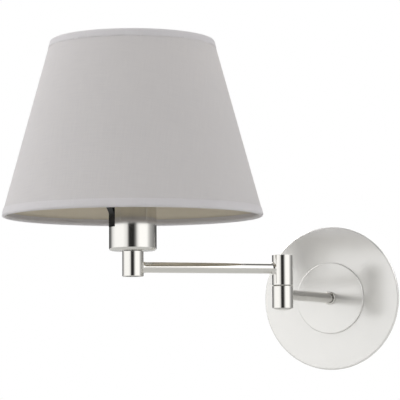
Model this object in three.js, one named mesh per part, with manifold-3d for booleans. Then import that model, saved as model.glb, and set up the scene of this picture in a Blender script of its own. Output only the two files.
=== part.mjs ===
// Swing-arm wall lamp: a round wall plate, a fixed short arm, a swivel hinge, a long arm that swings,
// and a lamp head with a switch in its cup, a bulb and a tapered fabric shade.
//
// Millimetres. +Z is up, the wall is the plane y = 0, and the lamp stands out of it towards -Y.
// The origin is the centre of the wall bracket's back face. z = 0 is the axis of the short arm.

import * as THREE from 'three';
import { mergeVertices, toCreasedNormals } from 'three/addons/utils/BufferGeometryUtils.js';
import Module from 'manifold-3d';

const wasm = await Module();
wasm.setup();

// ---------------------------------------------------------------- driving dimensions

const GAP = 0.3; // between pieces that rest on, pass through or turn in each other

// Wall plate
const PLATE_RADIUS = 72.5;
const PLATE_WALL = 1.2;
const PLATE_RIM = 2.4; // depth of the rim behind the front face
const PLATE_FRONT = 15; // from the wall to the front face
const PLATE_EDGE_RADIUS = 1.2;
const SKIRT_INSET = 9.5; // from the plate's edge to the outside of the skirt
const SKIRT_WALL = 1.2;
const FLANGE_RADIUS = 36;
const FLANGE_THICKNESS = 2.1;
const FLANGE_EDGE_RADIUS = 0.7;
const FLANGE_SCREW_CIRCLE = 20; // radius
const FLANGE_SCREW_COUNT = 3;
const FLANGE_SCREW_RADIUS = 1.5;
const COLLAR_WALL = 1.2;
const COLLAR_LENGTH = 3;
const COLLAR_EDGE_RADIUS = 0.5;

// Wall bracket
const STRAP_THICKNESS = 2;
const STRAP_WIDTH = 22;
const STRAP_TAB_DEPTH = 10;
const STRAP_TO_SKIRT = 2.8; // from the bent tab to the inside of the skirt
const STRAP_SLOT_AT = 42; // from the centre to the middle of each wall-screw slot
const STRAP_SLOT_LENGTH = 12;
const STRAP_SLOT_RADIUS = 2.5;
const COVER_SCREW_RADIUS = 2;
const COVER_SCREW_FROM_WALL = 6;
const EARTH_SCREW_AT = 12; // up from the centre
const TERMINAL_LENGTH = 24;
const TERMINAL_WIDTH = 16;
const TERMINAL_HEIGHT = 9.5;
const TERMINAL_TOP_AT = -10; // its top edge, from the centre
const TERMINAL_POLES = 3;
const TERMINAL_BORE = 1.4; // radius of a pole's wire hole and of its clamp screw
const TERMINAL_WELL_RADIUS = 1.8;
const TERMINAL_WELL_DEPTH = 3.4;
const TERMINAL_SCREW_LENGTH = 1.6;
const TERMINAL_SCREW_SUNK = 1.4; // below the block's front

// Arms
const TUBE_RADIUS = 5;
const TUBE_WALL = 1;
const REACH = 126; // from the plate's front face to the hinge axis
const ARM_LENGTH = 147.6; // from the hinge axis to the axis of the lamp head
const ARM_RISE = 24.8; // from the short arm's axis up to the long arm's
const BRAZE_RADIUS = 2.5; // fillet where a tube meets a barrel
const LEAD_RADIUS = 2.1;
const LEAD_BEND = 5;

// Hinge
const BARREL_RADIUS = 10;
const BARREL_WALL = 1.6;
const BARREL_BOTTOM = -13.3;
const BARREL_SPLIT = 8.3; // middle of the gap between the two barrels
const BARREL_TOP = 37.7;
const SPLIT_GAP = 1;
const WASHER_INSET = 0.2; // from the barrels' outside to the friction washer's edge
const WEB_THICKNESS = 2.5;
const PIN_RADIUS = 4.9;
const PIN_WALL = 1.2;
const PIN_HEAD_CLEARANCE = 1.4; // from the pin's head to the barrel round it
const PIN_HEAD_HEIGHT = 1.8;
const HINGE_NUT_FLATS = 13; // across the flats
const HINGE_NUT_HEIGHT = 3;
const WAVE_WASHER = 0.8;
const DOME_RISE = 1.9;
const CAP_EDGE_INSET = 0.3; // from the barrels' outside to the edge of a dome
const CAP_SPIGOT = 3;
const STOP_PIN_RADIUS = 0.9;
const STOP_GROOVE_DEPTH = 1.6;
const STOP_GROOVE_FACETS = 30;
const STOP_PIN_TURN = 90; // degrees: the pin stands on the wall's side of the hinge axis
const REST_SWING = 40; // degrees from the arm lying along the wall to where it rests
const SWING_RANGE = 180; // degrees from stop to stop

// Lamp head
const HUB_RADIUS = 10;
const HUB_WALL = 2.4;
const HUB_BELOW_ARM = 8.7;
const HUB_ABOVE_ARM = 15.6;
const HUB_WEB = 3;
const HUB_FOOT_RADIUS = 0.5;
const HUB_PLUG_HEIGHT = 3;
const HUB_NUT_FLATS = 12.6;
const HUB_NUT_HEIGHT = 2.4;
const THREAD_RADIUS = 4.9; // M10 threaded tube
const THREAD_BORE = 3.4;
const THREAD_NUT_FLATS = 14;
const THREAD_NUT_HEIGHT = 3.5;
const THREAD_PAST_NUT = 0.5;
// The slot in the threaded tube that the switch's wires come out of
const WIRE_SLOT_ABOVE_CUP_FLOOR = 12;
const WIRE_SLOT_HEIGHT = 8;
const WIRE_SLOT_WIDTH = 3.2;
const TOOTH_WASHER = 0.8;
const TOOTH_WASHER_RADIUS = 9;
const CUP_RADIUS = 22.5;
const CUP_WALL = 1;
const CUP_HEIGHT = 80;
const CUP_CORNER = 2.4;

// Switch, in the side of the cup
const SWITCH_TURN = 8.2; // degrees anticlockwise, seen from above, from straight out along the long arm
const SWITCH_WIDTH = 15;
const SWITCH_HEIGHT = 28;
const SWITCH_FACE_INSET = 1.1; // from the cup's outside to the front of the switch's frame
const SWITCH_DEPTH = 10;
const SWITCH_ABOVE_CUP_FLOOR = 22.4;
const SWITCH_FRAME = 0.6; // wall of the frame round the rocker
const SWITCH_FLOOR = 1.4;
const TAB_HALF_WIDTH = 3;
const TAB_THICKNESS = 0.8;
const TAB_AT = 6; // from the switch's middle to each terminal tab
const TAB_TO_THREAD = 1.2;
const SWITCH_WIRE_RADIUS = 0.9;
const SWITCH_WIRE_BEND = 2;
const ROCKER_TILT = 13; // degrees each way
const ROCKER_PROUD = 4.9; // from the rocker's pivot to the bottom of its dished face
const ROCKER_FACE_INSET = 0.7; // from the cup's outside to the half that is pressed in
const ROCKER_PIVOT_RADIUS = 1.1;
const ROCKER_BELLY = 2.4; // how far the rocker reaches behind its pivot
const ROCKER_EDGE = 2.4; // thickness of the rocker at its two ends
const ROCKER_HOLLOW = 0.4; // how gently the two halves of its face meet

// Lampholder (E27) and bulb (A60)
const HOLDER_ABOVE_CUP_FLOOR = 56; // bottom of the lampholder's dome
const HOLDER_RADIUS = 19.4;
const HOLDER_WALL = 1.6;
const HOLDER_BASE_HEIGHT = 14;
const HOLDER_HEIGHT = 50;
const HOLDER_NECK_RADIUS = 8;
const HOLDER_NECK = 3; // length of the neck below the dome
const HOLDER_SHOULDER = 4;
const HOLDER_LIP = 2;
const HOLDER_MOUTH = 14.7; // radius
const INSERT_HEIGHT = 7;
const SCREW_SHELL_RADIUS = 14.1;
const SCREW_SHELL_WALL = 0.5;
const SCREW_SHELL_HEIGHT = 24;
const CONTACT_RISE = 4; // from the porcelain to the tip of the bulb's cap
const CONTACT_WIDTH = 5;
const CONTACT_THICKNESS = 0.6;
const CONTACT_TAIL = 7; // from the ridge back to the strip's riveted end
const CONTACT_FLAT = 3; // length of the riveted end
const CONTACT_NOSE = 3; // from the ridge forward to the strip's free end
const RING_NUT_RADIUS = 24;
const RING_NUT_HEIGHT = 6;
const BULB_LENGTH = 106; // from the tip of its cap to the top of the globe
const BULB_RADIUS = 30;
const BULB_CAP_RADIUS = 13.1;
const BULB_CAP_HEIGHT = 27;
const BULB_SEAM = -28; // degrees: where the plastic body meets the dome, on the globe's circle
const BULB_WALL = 1.2;

// Shade
const SHADE_ABOVE_ARM = 47.4; // from the long arm's axis to the shade's bottom edge
const SHADE_HEIGHT = 167.8;
const SHADE_BOTTOM_RADIUS = 124;
const SHADE_TOP_RADIUS = 78;
const SHADE_WALL = 1;
const WIRE_RADIUS = 1.5;
const FITTER_THICKNESS = 1.5;
const FITTER_PAST_CUP = 3.5; // how far the fitter ring reaches out past the cup it rests on
const KNEE_FROM_FITTER = 8; // where a spoke bends down, from the fitter ring's edge
const SPOKE_BEND = 5;
const WIRE_SIDES = 6;
const SPOKE_COUNT = 3;
const SPOKE_TURN = -100; // degrees from straight out along the long arm to the first spoke

// Facets round a circle
const FACETS_LARGE = 60;
const FACETS_CUP = 40;
const FACETS = 28;
const FACETS_BULB = 20;
const FACETS_SMALL = 12;

// ---------------------------------------------------------------- derived places

const HINGE_Y = -(PLATE_FRONT + REACH);
const SKIRT_RADIUS = PLATE_RADIUS - SKIRT_INSET;
const FLANGE_BACK = PLATE_FRONT + GAP;
const FLANGE_FRONT = FLANGE_BACK + FLANGE_THICKNESS;
const STRAP_HALF = SKIRT_RADIUS - SKIRT_WALL - STRAP_TO_SKIRT;
const TUBE_BORE = TUBE_RADIUS - TUBE_WALL;
const COLLAR_RADIUS = TUBE_RADIUS + GAP + COLLAR_WALL;
const BARREL_BORE = BARREL_RADIUS - BARREL_WALL;
const PIN_HEAD_RADIUS = BARREL_BORE - PIN_HEAD_CLEARANCE;
const STOP_PIN_CIRCLE = (PIN_RADIUS + GAP + BARREL_RADIUS) / 2; // radius, half way across the web
const LOWER_BARREL_TOP = BARREL_SPLIT - SPLIT_GAP / 2;
const UPPER_BARREL_BOTTOM = BARREL_SPLIT + SPLIT_GAP / 2;
const LOWER_WEB_BOTTOM = LOWER_BARREL_TOP - WEB_THICKNESS;
const UPPER_WEB_TOP = UPPER_BARREL_BOTTOM + WEB_THICKNESS;
const HINGE_NUT_BOTTOM = UPPER_WEB_TOP + WAVE_WASHER + 2 * GAP;
const HINGE_NUT_TOP = HINGE_NUT_BOTTOM + HINGE_NUT_HEIGHT;
const HUB_BOTTOM = ARM_RISE - HUB_BELOW_ARM;
const HUB_BORE = HUB_RADIUS - HUB_WALL;
const CUP_BOTTOM = ARM_RISE + HUB_ABOVE_ARM;
const HUB_TOP = CUP_BOTTOM - GAP;
const CUP_TOP = CUP_BOTTOM + CUP_HEIGHT;
const CUP_FLOOR = CUP_BOTTOM + CUP_WALL;
const SWITCH_FACE = CUP_RADIUS - SWITCH_FACE_INSET;
const ROCKER_FACE_AT = CUP_RADIUS - ROCKER_FACE_INSET;
const HOLDER_BOTTOM = CUP_BOTTOM + HOLDER_ABOVE_CUP_FLOOR;
const HOLDER_TOP = HOLDER_BOTTOM + HOLDER_HEIGHT;
const HOLDER_SEAM = HOLDER_BOTTOM + HOLDER_BASE_HEIGHT;
const INSERT_TOP = HOLDER_SEAM + GAP;
const INSERT_BOTTOM = INSERT_TOP - INSERT_HEIGHT;
const THREAD_TOP = HOLDER_BOTTOM + HOLDER_NECK;
const SWITCH_MIDDLE = CUP_BOTTOM + SWITCH_ABOVE_CUP_FLOOR + SWITCH_HEIGHT / 2;
const SHADE_BOTTOM = ARM_RISE + SHADE_ABOVE_ARM;
const SHADE_TOP = SHADE_BOTTOM + SHADE_HEIGHT;
const FITTER_BOTTOM = CUP_TOP + GAP;
const FITTER_TOP = FITTER_BOTTOM + FITTER_THICKNESS;
const FITTER_BORE = HOLDER_RADIUS + GAP;
const BULB_TIP = INSERT_TOP + CONTACT_RISE;
const BULB_TOP = BULB_TIP + BULB_LENGTH;
const BULB_CAP_TOP = BULB_TIP + BULB_CAP_HEIGHT;

// ---------------------------------------------------------------- materials

function material(color, roughness, metalness) {
  return new THREE.MeshStandardMaterial({ color, roughness, metalness });
}

const satinNickel = material(0xc9c6c0, 0.28, 1);
const zincPlate = material(0xb4b6b8, 0.42, 1);
const brass = material(0xc6a45a, 0.35, 1);
const whiteSteel = material(0xe8e6e0, 0.5, 0);
const fabric = material(0xd8d5cc, 0.95, 0);
const blackPlastic = material(0x141414, 0.4, 0);
const whitePlastic = material(0xeceae4, 0.45, 0);
const porcelain = material(0xf2efe8, 0.3, 0);
const nylon = material(0x26262a, 0.6, 0);
const leadJacket = material(0xdcdcd8, 0.6, 0);
const frostedDome = material(0xf6f4ee, 0.35, 0);

// ---------------------------------------------------------------- geometry helpers

const degrees = (angle) => THREE.MathUtils.degToRad(angle);

// Joins the vertices of a geometry, drops its collapsed triangles and turns its faces outwards.
function weld(geometry) {
  const bare = geometry.clone();
  bare.deleteAttribute('normal');
  bare.deleteAttribute('uv');
  const merged = mergeVertices(bare, 1e-4);
  const at = merged.attributes.position;
  const corner = (i) => new THREE.Vector3().fromBufferAttribute(at, i);
  const kept = [];
  let volume = 0;
  for (let i = 0; i < merged.index.count; i += 3) {
    const [a, b, c] = [0, 1, 2].map((k) => merged.index.getX(i + k));
    if (a === b || b === c || c === a) continue;
    kept.push([a, b, c]);
    volume += corner(a).dot(corner(b).cross(corner(c)));
  }
  merged.setIndex(kept.flatMap(([a, b, c]) => (volume < 0 ? [a, c, b] : [a, b, c])));
  return merged;
}

function toSolid(geometry) {
  const welded = weld(geometry);
  return new wasm.Manifold(new wasm.Mesh({
    numProp: 3,
    vertProperties: new Float32Array(welded.attributes.position.array),
    triVerts: new Uint32Array(welded.index.array),
  }));
}

function fromSolid(solid) {
  const mesh = solid.getMesh();
  const geometry = new THREE.BufferGeometry();
  geometry.setAttribute('position', new THREE.BufferAttribute(mesh.vertProperties, 3));
  geometry.setIndex(new THREE.BufferAttribute(mesh.triVerts, 1));
  return geometry;
}

function cut(body, ...tools) {
  return fromSolid(tools.reduce((solid, tool) => solid.subtract(toSolid(tool)), toSolid(body)));
}

function join(...bodies) {
  const [first, ...rest] = bodies.map(toSolid);
  return fromSolid(rest.reduce((solid, body) => solid.add(body), first));
}

// A turned piece about Z. The profile is a closed list of [radius, z].
function turned(profile, facets = FACETS) {
  const points = [...profile, profile[0]].map(([radius, z]) => new THREE.Vector2(radius, z));
  return new THREE.LatheGeometry(points, facets).rotateX(Math.PI / 2);
}

// A piece turned about the wall plate's axis. The profile is a closed list of
// [radius, distance from the wall].
function turnedOnWall(profile, facets = FACETS) {
  return turned(profile, facets).rotateX(Math.PI / 2);
}

const rectangle = (inner, outer, low, high) => [[inner, low], [outer, low], [outer, high], [inner, high]];
const ring = (inner, outer, low, high, facets) => turned(rectangle(inner, outer, low, high), facets);
const rod = (radius, low, high, facets = FACETS_SMALL) => ring(0, radius, low, high, facets);

function block(x, y, z) {
  const geometry = new THREE.BoxGeometry(x[1] - x[0], y[1] - y[0], z[1] - z[0]);
  return geometry.translate((x[0] + x[1]) / 2, (y[0] + y[1]) / 2, (z[0] + z[1]) / 2);
}

// Points of a quarter circle or other arc, as [x, y] pairs.
function arc(x, y, radius, from, to, steps = 3) {
  return Array.from({ length: steps + 1 }, (_, i) => {
    const angle = degrees(from + ((to - from) * i) / steps);
    return [x + radius * Math.cos(angle), y + radius * Math.sin(angle)];
  });
}

// The rounded outer corner of a turned profile, from its side to its front.
function roundedEdge(radius, front, edge) {
  return arc(radius - edge, front - edge, edge, 0, 90);
}

function outline(points) {
  return new THREE.Shape(points.map(([x, y]) => new THREE.Vector2(x, y)));
}

function prism(points, low, high, hole) {
  const shape = outline(points);
  if (hole) shape.holes.push(outline(hole));
  return new THREE.ExtrudeGeometry(shape, { depth: high - low, bevelEnabled: false }).translate(0, 0, low);
}

const circle = (radius, sides) => arc(0, 0, radius, 0, 360, sides).slice(0, sides);

function nut(flats, bore, low, high) {
  const hexagon = circle(flats / 2 / Math.cos(degrees(30)), 6);
  return prism(hexagon, low, high, circle(bore, FACETS_SMALL));
}

// A round wire or lead along a path of straight runs whose corners are rounded to one bend radius.
function wire(points, radius, bend, sides = 8) {
  const corners = points.map((point) => new THREE.Vector3(...point));
  const path = new THREE.CurvePath();
  let start = corners[0];
  for (let i = 1; i < corners.length - 1; i += 1) {
    const back = corners[i - 1].clone().sub(corners[i]).normalize();
    const ahead = corners[i + 1].clone().sub(corners[i]).normalize();
    const enter = corners[i].clone().addScaledVector(back, bend);
    const leave = corners[i].clone().addScaledVector(ahead, bend);
    path.add(new THREE.LineCurve3(start, enter));
    path.add(new THREE.QuadraticBezierCurve3(enter, corners[i], leave));
    start = leave;
  }
  path.add(new THREE.LineCurve3(start, corners.at(-1)));
  const steps = Math.min(80, Math.ceil(path.getLength() / (3.2 * radius)));
  const spaced = new THREE.CatmullRomCurve3(path.getSpacedPoints(steps));
  return new THREE.ExtrudeGeometry(outline(circle(radius, sides)), { extrudePath: spaced, steps });
}

// A pan-head screw along Z with its head upwards: head from z = 0 to its height, shank below, slot across.
function panScrew(radius, length) {
  const head = 1.75 * radius;
  const height = radius;
  const crown = arc(head - 0.4 * height, 0.6 * height, 0.4 * height, 0, 90);
  const side = [[0, -length], [radius, -length], [radius, 0], [head, 0], ...crown, [0, height]];
  const body = turned(side, FACETS_SMALL);
  const slot = block([-head, head], [-0.25 * radius, 0.25 * radius], [0.5 * height, 2 * height]);
  return cut(body, slot);
}

// ---------------------------------------------------------------- scene graph

const lamp = new THREE.Group();

const outerArm = new THREE.Group(); // +X of this group runs from the hinge axis to the lamp head
outerArm.position.set(0, HINGE_Y, 0);
outerArm.rotation.z = degrees(180 + REST_SWING);
lamp.add(outerArm);

const head = new THREE.Group();
head.position.set(ARM_LENGTH, 0, 0);
outerArm.add(head);

const switchPlace = new THREE.Group(); // +X of this group points out through the switch
switchPlace.rotation.z = degrees(SWITCH_TURN);
head.add(switchPlace);

function piece(name, geometry, finish, parent = lamp) {
  const mesh = new THREE.Mesh(toCreasedNormals(weld(geometry), degrees(30)), finish);
  mesh.name = name;
  parent.add(mesh);
  return mesh;
}

// ---------------------------------------------------------------- wall bracket and its screws

function wallBracket() {
  const back = 0;
  const front = -STRAP_THICKNESS;
  const tab = -STRAP_TAB_DEPTH;
  const inside = STRAP_HALF - STRAP_THICKNESS;
  const channel = [
    [back, -STRAP_HALF], [tab, -STRAP_HALF], [tab, -inside], [front, -inside],
    [front, inside], [tab, inside], [tab, STRAP_HALF], [back, STRAP_HALF],
  ];
  const strap = new THREE.ExtrudeGeometry(outline(channel), { depth: STRAP_WIDTH, bevelEnabled: false });
  strap.translate(0, 0, -STRAP_WIDTH / 2);
  // The outline's first axis becomes Y, its second Z, and the extrusion runs along X.
  strap.applyMatrix4(new THREE.Matrix4().set(0, 0, 1, 0, 1, 0, 0, 0, 0, 1, 0, 0, 0, 0, 0, 1));
  const halfSlot = STRAP_SLOT_LENGTH / 2 - STRAP_SLOT_RADIUS;
  const slots = [-STRAP_SLOT_AT, STRAP_SLOT_AT].map((z) => {
    const upperEnd = arc(0, halfSlot, STRAP_SLOT_RADIUS, 0, 180, 8);
    const lowerEnd = arc(0, -halfSlot, STRAP_SLOT_RADIUS, 180, 360, 8);
    const slot = prism([...upperEnd, ...lowerEnd], -1, 2 * STRAP_THICKNESS);
    return slot.rotateX(Math.PI / 2).translate(0, 0, z);
  });
  const tapped = rod(COVER_SCREW_RADIUS + GAP, -2 * STRAP_HALF, 2 * STRAP_HALF);
  tapped.translate(0, -COVER_SCREW_FROM_WALL, 0);
  const earth = rod(COVER_SCREW_RADIUS + GAP, -1, 2 * STRAP_THICKNESS).rotateX(Math.PI / 2);
  return cut(strap, ...slots, tapped, earth.translate(0, 0, EARTH_SCREW_AT));
}

piece('wall_bracket', wallBracket(), zincPlate);

const coverScrewLength = SKIRT_RADIUS + GAP - STRAP_HALF + STRAP_THICKNESS + 1;
const coverScrew = () => panScrew(COVER_SCREW_RADIUS, coverScrewLength).translate(0, 0, SKIRT_RADIUS + GAP);
const lowerCoverScrew = coverScrew().rotateX(Math.PI);
piece('cover_screw_top', coverScrew().translate(0, -COVER_SCREW_FROM_WALL, 0), zincPlate);
piece('cover_screw_bottom', lowerCoverScrew.translate(0, -COVER_SCREW_FROM_WALL, 0), zincPlate);

const earthScrew = panScrew(COVER_SCREW_RADIUS, STRAP_THICKNESS).rotateX(Math.PI / 2);
piece('earth_screw', earthScrew.translate(0, -STRAP_THICKNESS - GAP, EARTH_SCREW_AT), brass);

// ---------------------------------------------------------------- terminal block

const terminalBottom = TERMINAL_TOP_AT - TERMINAL_LENGTH;
const terminalFront = STRAP_THICKNESS + GAP + TERMINAL_HEIGHT;
const polePitch = TERMINAL_WIDTH / TERMINAL_POLES;
const poleFromMiddle = (i) => (i - (TERMINAL_POLES - 1) / 2) * polePitch;
const poles = Array.from({ length: TERMINAL_POLES }, (_, i) => poleFromMiddle(i));

function terminalBlock() {
  const half = TERMINAL_WIDTH / 2;
  const depth = [-terminalFront, -STRAP_THICKNESS - GAP];
  const body = block([-half, half], depth, [terminalBottom, TERMINAL_TOP_AT]);
  const wireHoles = poles.map((x) => {
    const hole = rod(TERMINAL_BORE, terminalBottom - 1, TERMINAL_TOP_AT + 1);
    return hole.translate(x, -STRAP_THICKNESS - GAP - TERMINAL_HEIGHT / 2, 0);
  });
  const wells = poles.map((x) => {
    const well = rod(TERMINAL_WELL_RADIUS, terminalFront - TERMINAL_WELL_DEPTH, terminalFront + 1);
    return well.rotateX(Math.PI / 2).translate(x, 0, terminalBottom + TERMINAL_LENGTH / 4);
  });
  return cut(body, ...wireHoles, ...wells);
}

piece('terminal_block', terminalBlock(), whitePlastic);
poles.forEach((x, i) => {
  const screwFront = terminalFront - TERMINAL_SCREW_SUNK;
  const screw = rod(TERMINAL_BORE, screwFront - TERMINAL_SCREW_LENGTH, screwFront).rotateX(Math.PI / 2);
  piece(`terminal_screw_${i + 1}`, screw.translate(x, 0, terminalBottom + TERMINAL_LENGTH / 4), brass);
});

// ---------------------------------------------------------------- wall plate, flange and collar

const flangeScrewPlaces = Array.from({ length: FLANGE_SCREW_COUNT }, (_, i) => {
  const angle = degrees(90 + (i * 360) / FLANGE_SCREW_COUNT);
  return [FLANGE_SCREW_CIRCLE * Math.cos(angle), FLANGE_SCREW_CIRCLE * Math.sin(angle)];
});

function coverPlate() {
  const inside = PLATE_RADIUS - PLATE_WALL;
  const edge = roundedEdge(PLATE_RADIUS, PLATE_FRONT, PLATE_EDGE_RADIUS);
  const profile = [
    [0, PLATE_FRONT - PLATE_WALL], [inside, PLATE_FRONT - PLATE_WALL], [inside, PLATE_FRONT - PLATE_RIM],
    [PLATE_RADIUS, PLATE_FRONT - PLATE_RIM], ...edge, [0, PLATE_FRONT],
  ];
  const leadHole = turnedOnWall(rectangle(0, TUBE_RADIUS + 1, 0, 2 * PLATE_FRONT));
  const holes = flangeScrewPlaces.map(([x, z]) => {
    const hole = turnedOnWall(rectangle(0, FLANGE_SCREW_RADIUS + GAP, 0, 2 * PLATE_FRONT), FACETS_SMALL);
    return hole.translate(x, 0, z);
  });
  return cut(turnedOnWall(profile, FACETS_LARGE), leadHole, ...holes);
}

function coverSkirt() {
  const shell = rectangle(SKIRT_RADIUS - SKIRT_WALL, SKIRT_RADIUS, GAP, PLATE_FRONT - PLATE_WALL - GAP);
  const holes = rod(COVER_SCREW_RADIUS + GAP, -2 * SKIRT_RADIUS, 2 * SKIRT_RADIUS);
  return cut(turnedOnWall(shell, FACETS_LARGE), holes.translate(0, -COVER_SCREW_FROM_WALL, 0));
}

function armFlange() {
  const edge = roundedEdge(FLANGE_RADIUS, FLANGE_FRONT, FLANGE_EDGE_RADIUS);
  const back = [[TUBE_BORE, FLANGE_BACK], [FLANGE_RADIUS, FLANGE_BACK]];
  const profile = [...back, ...edge, [TUBE_BORE, FLANGE_FRONT]];
  const tapped = flangeScrewPlaces.map(([x, z]) => {
    const depth = rectangle(0, FLANGE_SCREW_RADIUS + GAP, 0, FLANGE_FRONT - 0.5);
    return turnedOnWall(depth, FACETS_SMALL).translate(x, 0, z);
  });
  return cut(turnedOnWall(profile, FACETS_LARGE), ...tapped);
}

piece('cover_plate', coverPlate(), satinNickel);
piece('cover_skirt', coverSkirt(), satinNickel);
piece('arm_flange', armFlange(), satinNickel);

const flangeScrewLength = PLATE_WALL + GAP + FLANGE_THICKNESS - 2 * GAP;
flangeScrewPlaces.forEach(([x, z], i) => {
  const screw = panScrew(FLANGE_SCREW_RADIUS, flangeScrewLength).rotateX(-Math.PI / 2);
  piece(`flange_screw_${i + 1}`, screw.translate(x, -(PLATE_FRONT - PLATE_WALL - GAP), z), zincPlate);
});

function armCollar() {
  const back = FLANGE_FRONT + GAP;
  const front = back + COLLAR_LENGTH;
  const bore = TUBE_RADIUS + GAP;
  const edge = roundedEdge(COLLAR_RADIUS, front, COLLAR_EDGE_RADIUS);
  return turnedOnWall([[bore, back], [COLLAR_RADIUS, back], ...edge, [bore, front]]);
}

piece('arm_collar', armCollar(), satinNickel);

// ---------------------------------------------------------------- arm tubes and leads

// The outside of a tube along Z, swept out to a fillet at each end that meets a barrel of the given radius.
function tubeProfile(low, high, lowBarrel, highBarrel) {
  const outer = TUBE_RADIUS + BRAZE_RADIUS;
  const start = lowBarrel
    ? [[outer, low], ...arc(outer, low + lowBarrel + BRAZE_RADIUS, BRAZE_RADIUS, 270, 180)]
    : [[TUBE_RADIUS, low]];
  const end = highBarrel
    ? [...arc(outer, high - highBarrel - BRAZE_RADIUS, BRAZE_RADIUS, 180, 90), [outer, high]]
    : [[TUBE_RADIUS, high]];
  return [[TUBE_BORE, low], ...start, ...end, [TUBE_BORE, high]];
}

const barrelSocket = (radius, x, y) => rod(radius + GAP, -4 * radius, 4 * radius, FACETS).translate(x, y, 0);

function shortArmTube() {
  const tube = turnedOnWall(tubeProfile(FLANGE_FRONT + GAP, -HINGE_Y, 0, BARREL_RADIUS));
  return cut(tube, barrelSocket(BARREL_RADIUS, 0, HINGE_Y));
}

function longArmTube() {
  const tube = turned(tubeProfile(0, ARM_LENGTH, BARREL_RADIUS, HUB_RADIUS)).rotateY(Math.PI / 2);
  return cut(tube, barrelSocket(BARREL_RADIUS, 0, 0), barrelSocket(HUB_RADIUS, ARM_LENGTH, 0));
}

piece('short_arm_tube', shortArmTube(), satinNickel);
piece('long_arm_tube', longArmTube().translate(0, 0, ARM_RISE), satinNickel, outerArm);

const leadInBox = -STRAP_THICKNESS - GAP - TERMINAL_HEIGHT / 2;
piece('lead_wall_arm', wire([
  [0, leadInBox, TERMINAL_TOP_AT + GAP],
  [0, leadInBox, 0],
  [0, HINGE_Y, 0],
  [0, HINGE_Y, BARREL_SPLIT - GAP / 2],
], LEAD_RADIUS, LEAD_BEND), leadJacket);
piece('lead_long_arm', wire([
  [0, 0, BARREL_SPLIT + GAP / 2],
  [0, 0, ARM_RISE],
  [ARM_LENGTH, 0, ARM_RISE],
  [ARM_LENGTH, 0, INSERT_BOTTOM - GAP],
], LEAD_RADIUS, LEAD_BEND), leadJacket, outerArm);

// ---------------------------------------------------------------- hinge

// The hole that a tube opens into, from a barrel's axis out along +X.
function sideHole(z) {
  return rod(TUBE_BORE, 0, 2 * BARREL_RADIUS, FACETS).rotateY(Math.PI / 2).translate(0, 0, z);
}

function onStopCircle(geometry, angle) {
  return geometry.translate(STOP_PIN_CIRCLE, 0, 0).rotateZ(degrees(angle));
}

function lowerBarrel() {
  const body = turned([
    [BARREL_BORE, BARREL_BOTTOM], [BARREL_RADIUS, BARREL_BOTTOM], [BARREL_RADIUS, LOWER_BARREL_TOP],
    [PIN_RADIUS + GAP, LOWER_BARREL_TOP], [PIN_RADIUS + GAP, LOWER_WEB_BOTTOM],
    [BARREL_BORE, LOWER_WEB_BOTTOM],
  ]);
  const stopHole = rod(STOP_PIN_RADIUS + GAP, LOWER_WEB_BOTTOM - 1, LOWER_BARREL_TOP + 1, 16);
  return cut(body, sideHole(0).rotateZ(degrees(90)), onStopCircle(stopHole, STOP_PIN_TURN));
}

function frictionWasher() {
  const edge = BARREL_RADIUS - WASHER_INSET;
  const body = ring(PIN_RADIUS + GAP, edge, LOWER_BARREL_TOP + GAP, UPPER_BARREL_BOTTOM - GAP);
  const stopHole = rod(STOP_PIN_RADIUS + GAP, LOWER_WEB_BOTTOM, UPPER_WEB_TOP, 16);
  return cut(body, onStopCircle(stopHole, STOP_PIN_TURN));
}

function hingePin() {
  const bore = PIN_RADIUS - PIN_WALL;
  const headTop = LOWER_WEB_BOTTOM - GAP;
  const headBottom = headTop - PIN_HEAD_HEIGHT;
  return turned([
    [bore, headBottom], [PIN_HEAD_RADIUS, headBottom], [PIN_HEAD_RADIUS, headTop],
    [PIN_RADIUS, headTop], [PIN_RADIUS, HINGE_NUT_TOP + 1], [bore, HINGE_NUT_TOP + 1],
  ]);
}

// The upper barrel's web has a curved groove for the stop pin, as long as the swing.
function upperBarrel() {
  const body = turned([
    [PIN_RADIUS + GAP, UPPER_BARREL_BOTTOM], [BARREL_RADIUS, UPPER_BARREL_BOTTOM],
    [BARREL_RADIUS, BARREL_TOP], [BARREL_BORE, BARREL_TOP],
    [BARREL_BORE, UPPER_WEB_TOP], [PIN_RADIUS + GAP, UPPER_WEB_TOP],
  ]);
  const half = STOP_PIN_RADIUS + GAP;
  const margin = THREE.MathUtils.radToDeg(half / STOP_PIN_CIRCLE);
  const groove = prism([
    ...arc(0, 0, STOP_PIN_CIRCLE + half, -margin, SWING_RANGE + margin, STOP_GROOVE_FACETS),
    ...arc(0, 0, STOP_PIN_CIRCLE - half, SWING_RANGE + margin, -margin, STOP_GROOVE_FACETS),
  ], UPPER_BARREL_BOTTOM - 1, UPPER_BARREL_BOTTOM + STOP_GROOVE_DEPTH).rotateZ(degrees(STOP_PIN_TURN));
  return cut(body, sideHole(ARM_RISE), groove);
}

function domedCap() {
  const rim = BARREL_RADIUS - CAP_EDGE_INSET;
  const sphere = (rim * rim + DOME_RISE * DOME_RISE) / (2 * DOME_RISE);
  const spread = THREE.MathUtils.radToDeg(Math.asin(rim / sphere));
  const dome = arc(0, GAP + DOME_RISE - sphere, sphere, 90 - spread, 90, 5);
  const spigot = BARREL_BORE - GAP;
  return turned([[0, -CAP_SPIGOT], [spigot, -CAP_SPIGOT], [spigot, GAP], ...dome]);
}

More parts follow.
